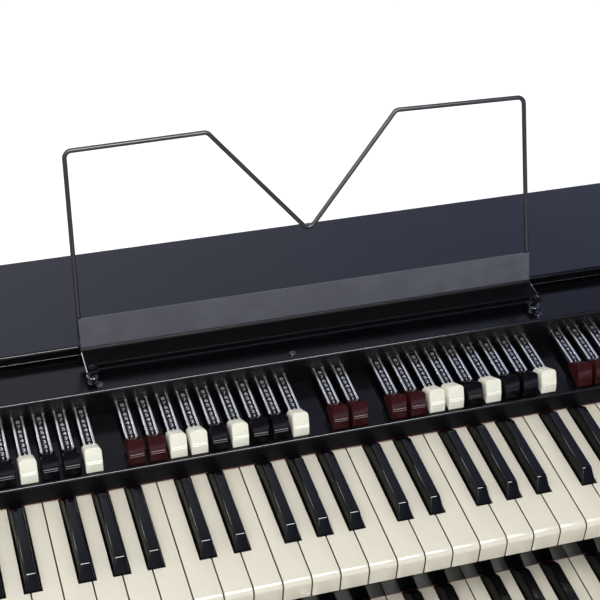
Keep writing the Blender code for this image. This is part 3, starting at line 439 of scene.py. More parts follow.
def makeCamera():
    data = bpy.data.cameras.new("camera")
    data.lens, data.sensor_width, data.sensor_fit = view["lens"], view["sensor"], "HORIZONTAL"
    data.clip_start, data.clip_end = view["nearest"], view["furthest"]
    camera = bpy.data.objects.new("camera", data)
    aim = Matrix.Translation(view["place"])
    for angle, axis in ((-view["turn"], "Z"), (90.0 - view["down"], "X"), (view["roll"], "Z")):
        aim @= Matrix.Rotation(math.radians(angle), 4, axis)
    camera.matrix_world = aim
    scene.collection.objects.link(camera)
    scene.camera = camera


studio = {
    "ambient": 0.5, "floorColour": "#f6f6f6", "floorRough": 0.9, "floorLift": 0.4, "floorReach": 6.0,
    "floorDepth": 0.02,
    "leftTint": "#f0f1ff", "rightTint": "#b6c6ff", "leftGlow": 0.9, "rightGlow": 0.5,  # as gloss sees both sides
    "topGlow": 0.3, "frontGlow": 0.6,  # the share of that overhead and in front
    "sideFade": (-0.1, 0.62), "topFade": (0.75, 0.9), "frontFade": (-0.8, -0.1),  # where they fade, by direction
    "softboxes": (  # name, place, aim, width, depth, watts, colour, lights matt surfaces too
        ("overheadBox", (-0.45, -0.25, 1.8), (0.0, 0.02, 0.15), 1.0, 0.6, 8.0, "#ffffff", True),
        ("keyBox", (-0.9, -1.5, 1.9), (0.0, 0.0, 0.15), 1.3, 1.3, 16.8, "#ffffff", True),
        ("lowFrontBox", (0.5, -2.3, 0.2), (0.1, 0.0, 0.2), 2.6, 0.26, 8.2, "#eaedff", False),
        ("edgeStrip", (0.05, -0.66, 1.57), (0.0, 0.06, 0.16), 1.3, 0.36, 60.0, "#ffffff", False),
        ("sideStrip", (-1.66, 1.78, 0.72), (-0.1, 0.1, 0.18), 0.7, 1.1, 26.0, "#ffffff", False),
        ("rightRim", (1.7, 1.9, 0.3), (0.1, 0.0, 0.16), 0.6, 0.45, 9.0, "#ffffff", False),
    ),
}


def seenRays(tree):  # camera rays alone, and all rays that show the surroundings
    path = addNode(tree, "ShaderNodeLightPath")
    shown = path["Is Camera Ray"]
    for ray in ("Is Glossy Ray", "Is Transmission Ray"):
        shown = addNode(tree, "ShaderNodeMath", {"operation": "MAXIMUM"}, {0: shown, 1: path[ray]})[0]
    return path["Is Camera Ray"], shown


def makeSurroundings():  # white for the camera, tinted and uneven for gloss, plain grey for the rest
    world = bpy.data.worlds.new("studio")
    scene.world = world
    world.use_nodes = True
    tree = world.node_tree
    tree.nodes.clear()
    byCamera, shown = seenRays(tree)
    white = linear("#ffffff")
    soft = addNode(tree, "ShaderNodeBackground", {"Color": white, "Strength": studio["ambient"]})
    side = addNode(tree, "ShaderNodeSeparateXYZ", {}, {0: addNode(tree, "ShaderNodeTexCoord")["Generated"]})
    fades = []
    for axis, fade, start, end in (("X", "sideFade", 0.0, 1.0), ("Z", "topFade", 1.0, studio["topGlow"]),
                                   ("Y", "frontFade", studio["frontGlow"], 1.0)):
        spread = addNode(tree, "ShaderNodeMapRange", {
            "From Min": studio[fade][0], "From Max": studio[fade][1], "To Min": start, "To Max": end,
            "interpolation_type": "SMOOTHSTEP"}, {"Value": side[axis]})
        fades.append(spread["Result"])
    across, over, along = fades
    sides = []
    for key in ("left", "right"):
        sides.append((*(channel * studio[key + "Glow"] for channel in linear(studio[key + "Tint"])[:3]), 1.0))
    backdrop = addNode(tree, "ShaderNodeMix", {"data_type": "RGBA", 6: sides[0], 7: sides[1]}, {0: across})
    tint = addNode(tree, "ShaderNodeMix", {"data_type": "RGBA", 7: white}, {0: byCamera, 6: backdrop[2]})
    glow = addNode(tree, "ShaderNodeMath", {"operation": "MULTIPLY"}, {0: over, 1: along})
    level = addNode(tree, "ShaderNodeMath", {"operation": "MAXIMUM"}, {0: glow[0], 1: byCamera})
    seen = addNode(tree, "ShaderNodeBackground", {}, {"Color": tint[2], "Strength": level[0]})
    mix = addNode(tree, "ShaderNodeMixShader", {}, {0: shown, 1: soft[0], 2: seen[0]})
    addNode(tree, "ShaderNodeOutputWorld", {}, {"Surface": mix[0]})


def makeSoftboxes():
    for name, place, aim, width, depth, watts, colour, onMatt in studio["softboxes"]:
        lamp = bpy.data.lights.new(name, "AREA")
        lamp.shape, lamp.size, lamp.size_y = "RECTANGLE", width, depth
        lamp.energy, lamp.color = watts, linear(colour)[:3]
        box = bpy.data.objects.new(name, lamp)
        box.location, box.rotation_mode = place, "QUATERNION"
        box.rotation_quaternion = (Vector(aim) - Vector(place)).to_track_quat("-Z", "Y")
        box.visible_diffuse, box.visible_camera = onMatt, False
        scene.collection.objects.link(box)


def makeFloor():  # matt studio paper, lifted to white where it is seen; it keeps the organ's shadow
    finish, tree, shader = newFinish("paleStudioFloor")
    lift = addNode(tree, "ShaderNodeMath", {"operation": "MULTIPLY", 1: studio["floorLift"]}, {0: seenRays(tree)[1]})
    dressShader(tree, shader, {"Emission Strength": lift[0]}, {
        "Base Color": linear(studio["floorColour"]), "Roughness": studio["floorRough"],
        "Emission Color": linear("#ffffff")})
    reach = studio["floorReach"]
    prism("floor", boxLoop((-reach, -reach), (reach, reach)), -studio["floorDepth"], 0.0, "Z", finish)


makeCamera()
makeSurroundings()
makeSoftboxes()
makeFloor()
print("organ: camera, light and floor ready")

keys = {
    "naturals": 36, "pitch": 0.0235, "gap": 0.001, "length": 0.13, "height": 0.02, "skin": 0.012, "lip": 0.012,
    "fall": 0.006, "head": 0.042, "tail": 0.046, "easedEdge": 0.0005, "notchRoom": 0.0008, "notchFront": 0.0016,
    "offsets": {1: -0.0021, 2: 0.0021, 4: -0.0034, 5: 0.0, 6: 0.0034},  # of the sharps from the joints of an octave
    "sharpBase": 0.0128, "sharpTop": 0.0086, "sharpRise": 0.011, "sharpDepth": 0.01, "frontSlope": 0.008,
    "backSlope": 0.011, "knee": 0.0037, "tailRise": 0.0014, "sharpEdge": 0.0014, "past": 0.01, "flank": 0.95,
    "sharpFlank": 0.9,
}


def naturalShape(kind):  # kind 0 to 6 is C to B, 7 is the last C with no sharp on its right
    pitch, fall, past, offsets = keys["pitch"], keys["fall"], keys["past"], keys["offsets"]
    left, right = keys["gap"] / 2, pitch - keys["gap"] / 2
    half = keys["sharpBase"] / 2 + keys["notchRoom"]
    place = kind % 7
    tailLeft = offsets[place] + half if place in offsets else left
    tailRight = pitch + offsets[place + 1] - half if place + 1 in offsets and kind != 7 else right
    notch, back = keys["head"] - keys["notchFront"], keys["length"] + keys["tail"]
    loop = [(left, -past), (right, -past)]
    if tailRight != right:
        loop += [(right, notch), (tailRight, notch)]
    loop += [(tailRight, back), (tailLeft, back)]
    if tailLeft != left:
        loop += [(tailLeft, notch), (left, notch)]
    shape = prism("naturalShape%d" % kind, loop, -far, far, "Z", ivoryAcrylic)
    side = [(0.0, -keys["height"])] + arcPoints((fall, -fall), fall, math.pi, quarterTurn, 8)
    side += [(back + past, 0.0), (back + past, -keys["skin"]), (keys["lip"], -keys["skin"])]
    side += [(keys["lip"], -keys["height"])]
    cut(shape, prism("section", side, -far, pitch + far, "X", ivoryAcrylic), "INTERSECT")
    tidied(shape.data, 0.001)
    return roundEdges(shape, keys["easedEdge"], 3, 30.0)


def sharpShape():
    base, rise, depth = keys["sharpBase"], keys["sharpRise"], keys["sharpDepth"]
    length = keys["length"] - keys["head"]
    back = length + keys["tail"]
    side = [(0.0, 0.0), (keys["frontSlope"], rise), (length - keys["backSlope"], rise),
            (length - keys["knee"], rise / 2), (length, keys["tailRise"]), (back, keys["tailRise"]),
            (back, -depth), (0.0, -depth)]
    rings = []
    for sign in (-1, 1):
        rings.append([(sign * (base - (base - keys["sharpTop"]) * max(z, 0.0) / rise) / 2, y, z) for y, z in side])
    return roundEdges(skinRings("sharpShape", rings, ebonyAcrylic), keys["sharpEdge"], 4, 40.0)


def keyRowTree():  # instances of the seven natural shapes along the pitch, the last one its own
    tree, given = newTree("keyRow", {
        "Shapes": "Collection", "Count": "Int", "Pitch": "Float", "Start": "Vector", "Finish": "Material",
        "Side Finish": "Material"})
    step = addNode(tree, "ShaderNodeCombineXYZ", {}, {"X": given["Pitch"]})
    line = addNode(tree, "GeometryNodeMeshLine", {"mode": "OFFSET"},
                   {"Count": given["Count"], "Start Location": given["Start"], "Offset": step[0]})
    place = addNode(tree, "GeometryNodeInputIndex")[0]
    kind = addNode(tree, "ShaderNodeMath", {"operation": "MODULO", 1: 7.0}, {0: place})
    last = addNode(tree, "ShaderNodeMath", {"operation": "SUBTRACT", 1: 1.0}, {0: given["Count"]})
    isLast = addNode(tree, "ShaderNodeMath", {"operation": "COMPARE", 2: 0.1}, {0: place, 1: last[0]})
    pick = addNode(tree, "ShaderNodeMath", {"operation": "MULTIPLY_ADD", 1: 7.0}, {0: isLast[0], 2: kind[0]})
    shapes = addNode(tree, "GeometryNodeCollectionInfo", {"Separate Children": True}, {"Collection": given["Shapes"]})
    copies = addNode(tree, "GeometryNodeInstanceOnPoints", {"Pick Instance": True},
                     {"Points": line[0], "Instance": shapes[0], "Instance Index": pick[0]})
    # the naturals' side faces get the darker flank finish: painted shade in the gaps between the keys
    facing = addNode(tree, "ShaderNodeSeparateXYZ", {}, {0: addNode(tree, "GeometryNodeInputNormal")[0]})
    across = addNode(tree, "ShaderNodeMath", {"operation": "ABSOLUTE"}, {0: facing["X"]})
    flanks = addNode(tree, "FunctionNodeCompare", {"operation": "GREATER_THAN", 1: keys["flank"]}, {0: across[0]})
    return closeTree(tree, copies[0], {"Material": given["Finish"]},
                     {"Selection": flanks[0], "Material": given["Side Finish"]})


def makeManuals():
    stock = shelved("naturalShapes", *(naturalShape(kind) for kind in range(8)))
    black = sharpShape()
    shelved("sharpShapes", black)
    rowTree, sharpTree = keyRowTree(), copiesTree("sharpRow")
    for manual in ("lower", "upper"):
        low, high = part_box(manual + "_naturals")
        start = Vector((low.x - keys["gap"] / 2, low.y, high.z))
        whites = runTree(manual + "WhiteKeys", [], rowTree, {
            "Shapes": stock, "Count": keys["naturals"], "Pitch": keys["pitch"], "Start": start,
            "Finish": ivoryAcrylic, "Side Finish": keyFlankShade})
        standFor(smoothed(whites, 30.0), manual + "_naturals")
        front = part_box(manual + "_sharps")[0].y
        spots = []
        for joint in range(1, keys["naturals"]):
            if joint % 7 in keys["offsets"]:
                spots.append((start.x + joint * keys["pitch"] + keys["offsets"][joint % 7], front, start.z))
        blacks = runTree(manual + "BlackKeys", spots, sharpTree, {"Source": black, "Finish": ebonyAcrylic})
        smoothed(blacks, 25.0)
        finishWhere(blacks, ebonySides, lambda normal, place: abs(normal.x) > keys["sharpFlank"])
        standFor(blacks, manual + "_sharps")
    print("organ: keys laid out")


makeManuals()

bars = {
    "width": 0.01, "height": 0.0035, "rail": 0.002, "recess": 0.0006, "railEdge": 0.00035, "top": 0.1566,
    "riserFace": 0.0825, "inside": 0.035, "inKnob": 0.006,  # the bar runs from in the knob to inside the case
    "knobBack": 0.0375, "knobWidth": 0.014, "knobEdge": 0.0005, "roofRound": 0.0034, "archRoom": 1.02,
    "ridgeUp": 0.009, "ridgeForward": 0.0145, "toeForward": 0.0217, "heelForward": 0.015, "backDrop": 0.006,
    "deck": 0.1453, "waistIn": 0.0015, "waistUp": 0.0092,
    "ribGap": 0.0019, "ribPlace": 0.1, "ribFacet": 0.0006, "ribLean": 37.0, "ribInset": 0.0012, "ribSink": 0.0006,
    "ribs": ((-0.5, 0.6), (0.5, 1.0)),  # each rib's place in the gap and its share of the facet
    "text": "8\n7\n6\n5\n4\n3\n2\n1", "digit": 0.0053, "digitStep": 0.0056, "digitWiden": 1.2,
    "digitBold": 0.00026, "digitThickness": 0.00003, "digitSet": 0.0026, "digitLift": 0.00001,
}
drawbarNodes = [name for name in frame["nodes"] if name.startswith("drawbar_") and name != "drawbar_deck"]

sheets = {
    "sheet": 0.0015, "panelSheet": 0.002, "fold": 0.0018, "lidFold": 0.0024, "foldSteps": 12,
    "fasciaLean": 0.002, "panelFall": -0.05, "hem": 0.0004, "hemIn": 0.0002, "hemUp": 1.3, "hemEnd": 0.0005,
    "slotRoom": 0.0003, "frameWidth": 0.0006, "frameProud": 0.00025,
    "bend": -0.08, "upright": -0.97,  # faces that look further forward than this count as bend and as upright
}


def panelLevel(depth):  # the strip's height; it is level with its solid behind the thumb screws' collars
    collarLow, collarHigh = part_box("thumb_screw_left")
    return collarLow.z - hair + sheets["panelFall"] * (depth - collarHigh.y)


def slotLoop(node, out=0.0):  # a drawbar's slot in the riser, or its outline so far out
    middle = middleOf(node).x
    room = sheets["slotRoom"] + out
    half = bars["width"] / 2 + room
    return boxLoop((middle - half, bars["top"] - bars["height"] - room), (middle + half, bars["top"] + room))


def slotCutter(face):
    return mergeInto(*(prism("slot", slotLoop(node), face - keys["past"], face + keys["past"], "Y", caseCoat)
                       for node in drawbarNodes))


def slotFrames(face):  # a thin pressed rim round every slot
    wide, proud = sheets["frameWidth"], face - sheets["frameProud"]
    frames = []
    for node in drawbarNodes:
        rings = [[(x, y, z) for x, z in slotLoop(node, out)]
                 for out, y in ((0.0, face + hair), (0.0, proud), (wide, proud), (wide, face + hair))]
        frames.append(skinRings("slotFrame", rings, slotLiner, joined=True))
    return mergeInto(*frames)


def foldedSheet(name, node, finish, thickness, fold, lean=0.0, level=None, cutter=None):  # upright front, flat top
    low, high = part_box(node)
    front, back = (level(depth) if level else high.z for depth in (low.y, high.y))
    path = filletPath([(low.y, low.z), (low.y + lean, front), (high.y, back)], fold, sheets["foldSteps"])
    piece = prism(name, sheetLoop(path, thickness), low.x, high.x, "X", finish)
    if cutter:
        cut(piece, cutter)
    return standFor(smoothed(piece, 32.0), node)


def makeSheets():
    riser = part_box("control_panel")[0].y
    deck = foldedSheet("deckSheet", "drawbar_deck", deckEnamel, sheets["sheet"], sheets["fold"], sheets["fasciaLean"])
    panel = foldedSheet("panelSheet", "control_panel", caseCoat, sheets["panelSheet"], sheets["fold"],
                        level=panelLevel, cutter=slotCutter(riser))
    lid = foldedSheet("lidSheet", "top_lid", lidCoat, sheets["sheet"], sheets["lidFold"])
    # the lid's front takes the nearly black ledge coat: painted shade on that face
    for piece, finish, part in (
            (deck, caseCoat, "bend"), (deck, fasciaCoat, "upright"), (panel, fasciaCoat, "upright"),
            (lid, deckEnamel, "bend"), (lid, ledgeShadeCoat, "upright")):
        finishWhere(piece, finish, lambda normal, place: normal.y < sheets[part])
    mergeInto(panel, slotFrames(riser))
    low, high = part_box("top_lid")
    hem, end = sheets["hem"], sheets["hemEnd"]
    bead = arcPoints((low.y + sheets["hemIn"], low.z + hem * sheets["hemUp"]), hem, quarterTurn, 3 * quarterTurn, 10)
    mergeInto(lid, smoothed(prism("hem", bead, low.x + end, high.x - end, "X", lidCoat), 40.0))
    print("organ: deck, panel and lid folded")


def numberTree():  # numerals one behind the other, each drawn twice to make it bold
    tree, given = newTree("barNumbers", {
        "Text": "String", "Height": "Float", "Spacing": "Float", "Thickness": "Float", "Place": "Vector",
        "Stretch": "Vector", "Bold": "Vector", "Finish": "Material"})
    words = addNode(tree, "GeometryNodeStringToCurves", {"align_x": "CENTER", "align_y": "TOP"},
                    {"String": given["Text"], "Size": given["Height"], "Line Spacing": given["Spacing"]})
    loose = addNode(tree, "GeometryNodeRealizeInstances", {}, {0: words[0]})
    filled = addNode(tree, "GeometryNodeFillCurve", {"mode": "NGONS"}, {0: loose[0]})
    raised = addNode(tree, "GeometryNodeExtrudeMesh", {"Individual": False},
                     {"Mesh": filled[0], "Offset Scale": given["Thickness"]})
    moved = addNode(tree, "GeometryNodeTransform", {},
                    {"Geometry": raised["Mesh"], "Translation": given["Place"], "Scale": given["Stretch"]})
    second = addNode(tree, "GeometryNodeTransform", {}, {"Geometry": moved[0], "Translation": given["Bold"]})
    both = addNode(tree, "GeometryNodeJoinGeometry", {}, {0: (moved[0], second[0])})
    return closeTree(tree, both[0], {"Material": given["Finish"]})


def makeBarMesh():  # one bar at X = 0: chrome rails either side of the printed strip
    half, top, rail = bars["width"] / 2, bars["top"], bars["rail"]
    bottom, face = top - bars["height"], top - bars["recess"]
    run = (bars["knobBack"] - bars["inKnob"], bars["riserFace"] + bars["inside"], "Y")
    inner = half - rail + hair
    strip = prism("strip", boxLoop((-inner, bottom + 2 * hair), (inner, face)), *run, stripVinyl)
    rails = []
    for left in (-half, half - rail):
        piece = prism("rail", boxLoop((left, bottom), (left + rail, top)), *run, chromePlate)
        rails.append(roundEdges(piece, bars["railEdge"], 3, 40.0))
    digits = runTree("digits", [], numberTree(), {
        "Text": bars["text"], "Height": bars["digit"], "Spacing": bars["digitStep"] / bars["digit"],
        "Thickness": bars["digitThickness"], "Stretch": Vector((bars["digitWiden"], 1.0, 1.0)),
        "Place": Vector((0.0, bars["riserFace"] - bars["digitSet"], face + bars["digitLift"])),
        "Bold": Vector((bars["digitBold"], 0.0, bars["digitLift"])), "Finish": silverFoil})
    return mergeInto(strip, *rails, digits)


def archAlong(ridge, heel, half, finish):  # a round-shouldered section drawn down the knob's roof
    run = (heel - ridge).normalized()
    up = Vector((-run.y, run.x))
    radius, wide = bars["roofRound"], half * bars["archRoom"]
    section = [(wide, -far), (wide, -radius)]
    section += arcPoints((half - radius, -radius), radius, 0.0, quarterTurn, 8)[1:]
    section += [(-x, depth) for x, depth in reversed(section)]
    rings = []
    for reach in (-far, far):
        rings.append([(x, *(ridge + run * reach + up * depth)) for x, depth in section])
    return skinRings("arch", rings, finish)


def makeKnobMesh(finish):
    top, back, half = bars["top"], bars["knobBack"], bars["knobWidth"] / 2
    toe = Vector((back - bars["toeForward"], bars["deck"]))
    ridge = Vector((back - bars["ridgeForward"], top + bars["ridgeUp"]))
    waist = toe + Vector((bars["waistIn"], bars["waistUp"]))
    heel = (back - bars["heelForward"], bars["deck"])
    side = [(back, top), (back, top - bars["backDrop"]), heel, toe, waist, ridge]
    knob = prism("knob", side, -half, half, "X", finish)
    cut(knob, archAlong(ridge, Vector((back, top)), half, finish), "INTERSECT")
    tidied(knob.data, 0.001)
    roundEdges(knob, bars["knobEdge"], 3, 30.0)
    face = (ridge - waist).normalized()
    out = Vector((-face.y, face.x))
    lean, end = math.radians(bars["ribLean"]), half - bars["ribInset"]
    sunk = out * bars["ribSink"]
    for place, share in bars["ribs"]:  # moulded ribs across the face, each with a sloping upper facet
        crown = waist + face * (bars["ribGap"] * (place + bars["ribPlace"]))
        facet = Vector((-math.cos(lean), -math.sin(lean))) * bars["ribFacet"] * share
        tip = crown + facet
        foot = tip - out * facet.dot(out) - face * hair
        mergeInto(knob, prism("rib", [crown, tip, foot, foot - sunk, crown - sunk], -end, end, "X", finish))
    return knob


def makeDrawbars():
    bar = makeBarMesh()
    finishes = {"brown": brownPlastic, "cream": creamPlastic, "black": blackPlastic}
    knobs = {colour: makeKnobMesh(finish) for colour, finish in finishes.items()}
    for node in drawbarNodes:
        for source, ending in ((knobs[slotOf[node].split("_")[1]], "Knob"), (bar, "Bar")):
            mesh = source.data.copy()
            mesh.transform(Matrix.Translation((middleOf(node).x, 0.0, 0.0)))
            piece = newPiece(node + ending, mesh)
            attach(piece, bodyOf[node])
            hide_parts(node)
    for source in (bar, *knobs.values()):
        bpy.data.objects.remove(source, do_unlink=True)
    print("organ: drawbars made,", len(drawbarNodes))


makeSheets()
makeDrawbars()

rest = {
    "sheet": 0.0015, "lean": 20.0, "plate": 0.0285, "ledge": 0.02, "fold": 0.004, "lip": 0.0053, "lipFold": 0.0008,
    "ear": 0.01, "earLength": 0.009, "earTuck": 0.002, "earSkin": 0.00005, "chamfer": 0.0005, "coatUp": 0.0012,
    "wire": 0.004, "gap": 0.0003, "inset": 0.00415, "above": 0.1437, "hidden": 0.02, "splay": 0.003,
    "valley": 0.095, "shoulder": 0.0839, "rise": 0.0019, "bend": 0.006, "endFace": 0.2,
}


def makeRest():
    low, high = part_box("music_rest_plate")
    lean, chamfer = math.radians(rest["lean"]), rest["chamfer"]
    ledgeFront = low.y + rest["earLength"]
    bendY = ledgeFront + rest["ledge"]
    edgeY = bendY + rest["plate"] * math.sin(lean)
    ledgeTop = high.z - rest["plate"] * math.cos(lean)
    path = [(ledgeFront, ledgeTop - rest["lip"]), (ledgeFront, ledgeTop), (bendY, ledgeTop), (edgeY, high.z - hair)]
    face = filletPath(path[:3], rest["lipFold"], 6)[:-1] + filletPath(path[1:], rest["fold"], 12)[1:]
    ends = ((low.x, chamfer), (low.x + chamfer, 0.0), (high.x - chamfer, 0.0), (high.x, chamfer / 2))
    rings = [[(x, *spot) for spot in sheetLoop(face, rest["sheet"], eased)] for x, eased in ends]
    plate = skinRings("restPlate", rings, restCoat)  # the cut edges at both ends are eased
    for side in (-1, 1):
        left, right = sorted((side * high.x, side * (high.x - rest["ear"])))
        ear = prism("ear", boxLoop((left, low.y), (right, ledgeFront + rest["earTuck"])),
                    ledgeTop - rest["sheet"] + rest["earSkin"], ledgeTop - rest["earSkin"], "Z", restCoat)
        mergeInto(plate, roundEdges(ear, chamfer, 1, 50.0))
    smoothed(plate, 20.0)
    # the ledge and its lip take the nearly black ledge coat: painted shade on the same sheet as the plate
    reach, endFace = ledgeTop + rest["coatUp"], rest["endFace"]
    finishWhere(plate, ledgeShadeCoat, lambda normal, place: place.z < reach and abs(normal.x) < endFace)
    standFor(plate, "music_rest_plate")

    up = Vector((0.0, math.sin(lean), math.cos(lean)))
    behind = Vector((0.0, math.cos(lean), -math.sin(lean))) * (rest["wire"] / 2 + rest["sheet"] + rest["gap"])
    base = Vector((0.0, edgeY, high.z)) + behind
    span, above, crest = high.x - rest["inset"], rest["above"], rest["above"] + rest["rise"]
    route = [(-span - rest["splay"], -rest["hidden"]), (-span, above), (-rest["shoulder"], crest),
             (0.0, above - rest["valley"]), (rest["shoulder"], crest), (span, above),
             (span + rest["splay"], -rest["hidden"])]
    curve = bpy.data.curves.new("restWire", "CURVE")
    curve.dimensions, curve.use_fill_caps = "3D", True
    curve.bevel_depth, curve.bevel_resolution = rest["wire"] / 2, 6
    points = filletPath(route, rest["bend"], 10)
    spline = curve.splines.new("POLY")
    spline.points.add(len(points) - 1)
    for point, place in zip(spline.points, points):
        point.co = (*(Vector((place.x, 0.0, 0.0)) + up * place.y + base), 1.0)
    guide = bpy.data.objects.new("restWireGuide", curve)
    scene.collection.objects.link(guide)
    mesh = plainMesh(guide)
    bpy.data.objects.remove(guide, do_unlink=True)
    wire = newPiece("restWire", tidied(mesh, 0.0001), wireCoat)
    standFor(smoothed(wire, 50.0), "music_rest_wire")


screws = {
    "collar": 0.0054, "collarHeight": 0.0038, "knurls": 15, "shaft": 0.002, "head": 0.0032, "headHeight": 0.0016,
    "crownIn": 0.7, "crownEdge": (0.95, 0.0003, 0.0008), "chamfer": 0.24,
    "panelPlaces": (-0.445, -0.199, -0.03, 0.203, 0.43), "panelDepth": 0.0908, "radius": 0.0033, "height": 0.0015,
    "serrations": 8, "socket": 0.66, "socketFloor": 0.2, "rearCount": 5, "rearInset": 0.02, "rearMargin": 0.01,
}


def serratedCollar(name, centre, foot, radius, height, teeth):  # coarse teeth, each rounded off at the top
    chamfer, top = height * screws["chamfer"], foot + height
    rows = []
    for level, share, depth in ((foot, 0.94, 0.1), (foot + chamfer * 0.5, 1.0, 0.17), (top - chamfer, 1.0, 0.17),
                                (top - chamfer * 0.3, 0.92, 0.1), (top, 0.81, 0.0)):
        rows.append((radius * share, level, radius * share * depth))
    return turned(name, centre, rows, teeth * 4, blackNickel, teeth, 32.0)


def makeThumbScrew(name, node):  # turned screw with a straight-knurled collar
    low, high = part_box(node)
    centre, radius, head = middleOf(node), screws["head"], high.z - screws["headHeight"]
    share, rim, shoulder = screws["crownEdge"]
    root = low.z + screws["collarHeight"] - 2 * hair
    screw = serratedCollar(name, centre, low.z, screws["collar"], screws["collarHeight"], screws["knurls"])
    stem = turned("stem", centre, [
        (0.0, high.z), (radius * screws["crownIn"], high.z), (radius * share, high.z - rim),
        (radius, high.z - shoulder), (radius, head), (screws["shaft"], head), (screws["shaft"], root), (0.0, root)],
        24, blackSteel)
    standFor(mergeInto(screw, stem), node)


def screwHead(name, radius, height):  # button head with a hexagon socket, pointing up
    head = serratedCollar(name, (0.0, 0.0), 0.0, radius, height, screws["serrations"])
    hexagon = arcPoints((0.0, 0.0), radius * screws["socket"], 0.0, math.pi * 5 / 3, 5)
    cut(head, prism("socket", hexagon, height * screws["socketFloor"], height * 2, "Z", blackSteel))
    return smoothed(head, 32.0)


def makeScrews():
    head = screwHead("screwHead", screws["radius"], screws["height"])
    shelved("screwStock", head)
    tree = copiesTree("screwRow")
    values = {"Source": head, "Finish": blackNickel}
    level = panelLevel(screws["panelDepth"]) - hair
    spots = [(x, screws["panelDepth"], level) for x in screws["panelPlaces"]]
    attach(runTree("panelScrews", spots, tree, values), "root")

    low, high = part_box("rear_panel")
    inset, margin = screws["rearInset"], screws["rearMargin"]
    spots = []
    for step in range(screws["rearCount"]):
        x = low.x + inset + (high.x - low.x - 2 * inset) * step / (screws["rearCount"] - 1)
        spots += [(x, low.z + margin, 0.0), (x, high.z - margin, 0.0)]  # drawn flat, then stood up against the sheet
    rearScrews = runTree("rearScrews", spots, tree, values)
    rearScrews.data.transform(Matrix(((1, 0, 0, 0), (0, 0, 1, high.y - hair), (0, 1, 0, 0), (0, 0, 0, 1))))
    rearScrews.data.flip_normals()
    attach(rearScrews, "root")


makeRest()
makeThumbScrew("thumbScrewLeft", "thumb_screw_left")
makeThumbScrew("thumbScrewRight", "thumb_screw_right")
print("organ: music rest made")

trims = {
    "feltBack": 0.0006, "feltDepth": 0.0022, "feltUnder": 0.0004, "feltOver": 0.0006, "feltEdge": 0.0003,
    "feltEnd": 0.001, "footX": 0.487, "footFront": -0.2028, "footBack": 0.2005, "footRadius": 0.016,
    "sleeve": 0.0025, "sleeveHeight": 0.0118, "sleeveEdge": 0.001,
}


def makeFelts():  # a strip behind each manual
    frameLow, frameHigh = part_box("upper_key_frame")
    for manual, front in (("upper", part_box("drawbar_deck")[0]), ("lower", frameLow)):
        low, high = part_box(manual + "_naturals")[1].z + trims["feltUnder"], front.z + trims["feltOver"]
        near = front.y + trims["feltBack"]
        strip = prism(manual + "Felt", boxLoop((near, low), (near + trims["feltDepth"], high)),
                      frameLow.x + trims["feltEnd"], frameHigh.x - trims["feltEnd"], "X", felt)
        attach(roundEdges(strip, trims["feltEdge"], 2, 40.0), "root")


def makeFeet():  # rubber sleeves round the tray's feet
    radius, top, edge = trims["footRadius"], trims["sleeveHeight"], trims["sleeveEdge"]
    bore, outer = radius + hair, radius + trims["sleeve"]
    rows = [(bore, 0.0), (outer - edge, 0.0), (outer, edge), (outer - 1.2 * edge, top - 0.6 * edge),
            (outer - 2 * edge, top), (bore, top)]
    for side, x in (("Left", -trims["footX"]), ("Right", trims["footX"])):
        for end, y in (("Front", trims["footFront"]), ("Back", trims["footBack"])):
            ring = turned("rubberFoot" + side + end, (x, y), rows, 40, footRubber, joined=True)
            tidied(ring.data, 0.0001)
            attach(smoothed(ring, 40.0), "root")


makeScrews()
makeFelts()
makeFeet()
print("organ: screws, felt and feet added")

case = {"blockEdge": 0.0012, "leverEdge": 0.0008, "flat": 0.02}


def dressedCopy(name, node, finish, width, limit):  # the CAD shape with eased edges
    mesh = frame["nodes"][node].data.copy()
    piece = newPiece(name, tidied(mesh, case["flat"]), finish)
    for face in mesh.polygons:
        face.material_index = 0
    return standFor(roundEdges(piece, width, 3, limit), node)


def makeCase():
    for name, node in (("leftEndBlock", "left_end_block"), ("rightEndBlock", "right_end_block"),
                       ("frontRail", "front_rail")):
        dressedCopy(name, node, stainedAsh, case["blockEdge"], 35.0)
    for name, finish in (("base_pan", panCoat), ("rear_panel", caseCoat), ("mains_inlet", socketPlastic),
                         ("lower_key_frame", zincPlate), ("upper_key_frame", caseCoat), ("main_board", boardMask)):
        node = frame["nodes"][name]  # these keep the CAD's shape
        if not len(node.material_slots):
            node.data.materials.append(finish)
        for place in node.material_slots:
            place.material = finish
    print("organ: case dressed")


makeCase()

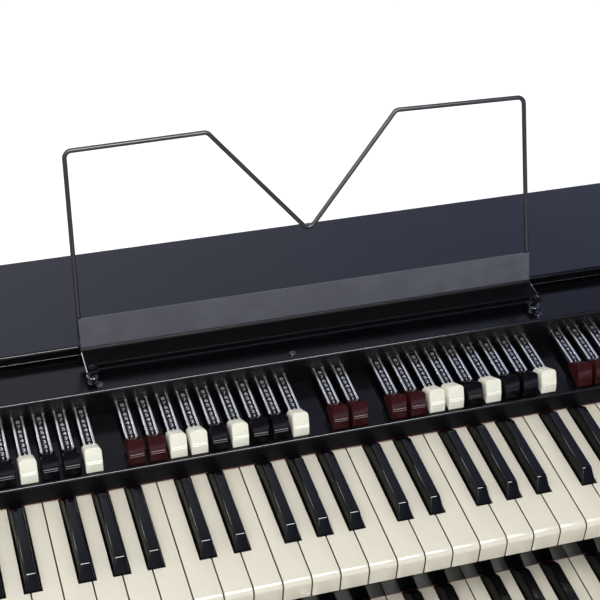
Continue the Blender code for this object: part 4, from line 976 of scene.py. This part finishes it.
controls = {
    "knobDepth": -0.0545, "flutes": 24, "fluteDepth": 0.0007, "skirt": 0.0018, "underTop": 0.0005,
    "pointerWidth": 0.0012, "pointerStart": 0.001, "pointerShare": 0.7,
    "ticks": 11, "sweep": 150.0, "tickRadius": 0.0135, "tickLength": 0.0018, "tickWidth": 0.0005,
    "tickUnder": 0.0003, "tickThickness": 0.0001,
}


def makeVolumeKnob():
    low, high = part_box("volume_knob")
    x, y, radius = (low.x + high.x) / 2, controls["knobDepth"], (high.x - low.x) / 2
    height, skirt = high.z - low.z - controls["underTop"], controls["skirt"]
    rows = []
    for level, share, depth in (
            (0.0, 1.0, 0.0), (skirt, 1.0, 0.0), (skirt + 0.0006, 0.93, 0.5), (height * 0.55, 0.88, 1.0),
            (height - 0.0014, 0.84, 1.0), (height - 0.0003, 0.79, 0.4), (height, 0.73, 0.0)):
        rows.append((radius * share, low.z + level, controls["fluteDepth"] * depth))
    knob = turned("volumeKnob", (x, y), rows, controls["flutes"] * 4, controlPlastic, controls["flutes"], 45.0)
    half, top = controls["pointerWidth"] / 2, low.z + height
    outline = boxLoop((x - half, y + controls["pointerStart"]), (x + half, y + radius * controls["pointerShare"]))
    mergeInto(knob, prism("pointer", outline, top - 2 * hair, top + 2 * hair, "Z", whitePrint))
    standFor(knob, "volume_knob")

    level, half = low.z - controls["tickUnder"], controls["tickThickness"] / 2
    marks = []
    for step in range(controls["ticks"]):
        angle = quarterTurn + math.radians(controls["sweep"]) * (1 - 2 * step / (controls["ticks"] - 1))
        along = Vector((math.cos(angle), math.sin(angle)))
        across = Vector((-along.y, along.x)) * controls["tickWidth"] / 2
        middle, reach = Vector((x, y)) + along * controls["tickRadius"], along * controls["tickLength"] / 2
        outline = [middle + reach * a + across * b for a, b in boxLoop((-1, -1), (1, 1))]
        marks.append(prism("volumeScale", outline, level - half, level + half, "Z", whitePrint))
    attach(mergeInto(*marks), "root")


makeVolumeKnob()
dressedCopy("rotorSpeedLever", "rotor_speed_lever", controlPlastic, case["leverEdge"], 50.0)
print("organ: controls made")

bpy.context.view_layer.update()
scene.view_settings.view_transform = "Standard"
print("organ: done")
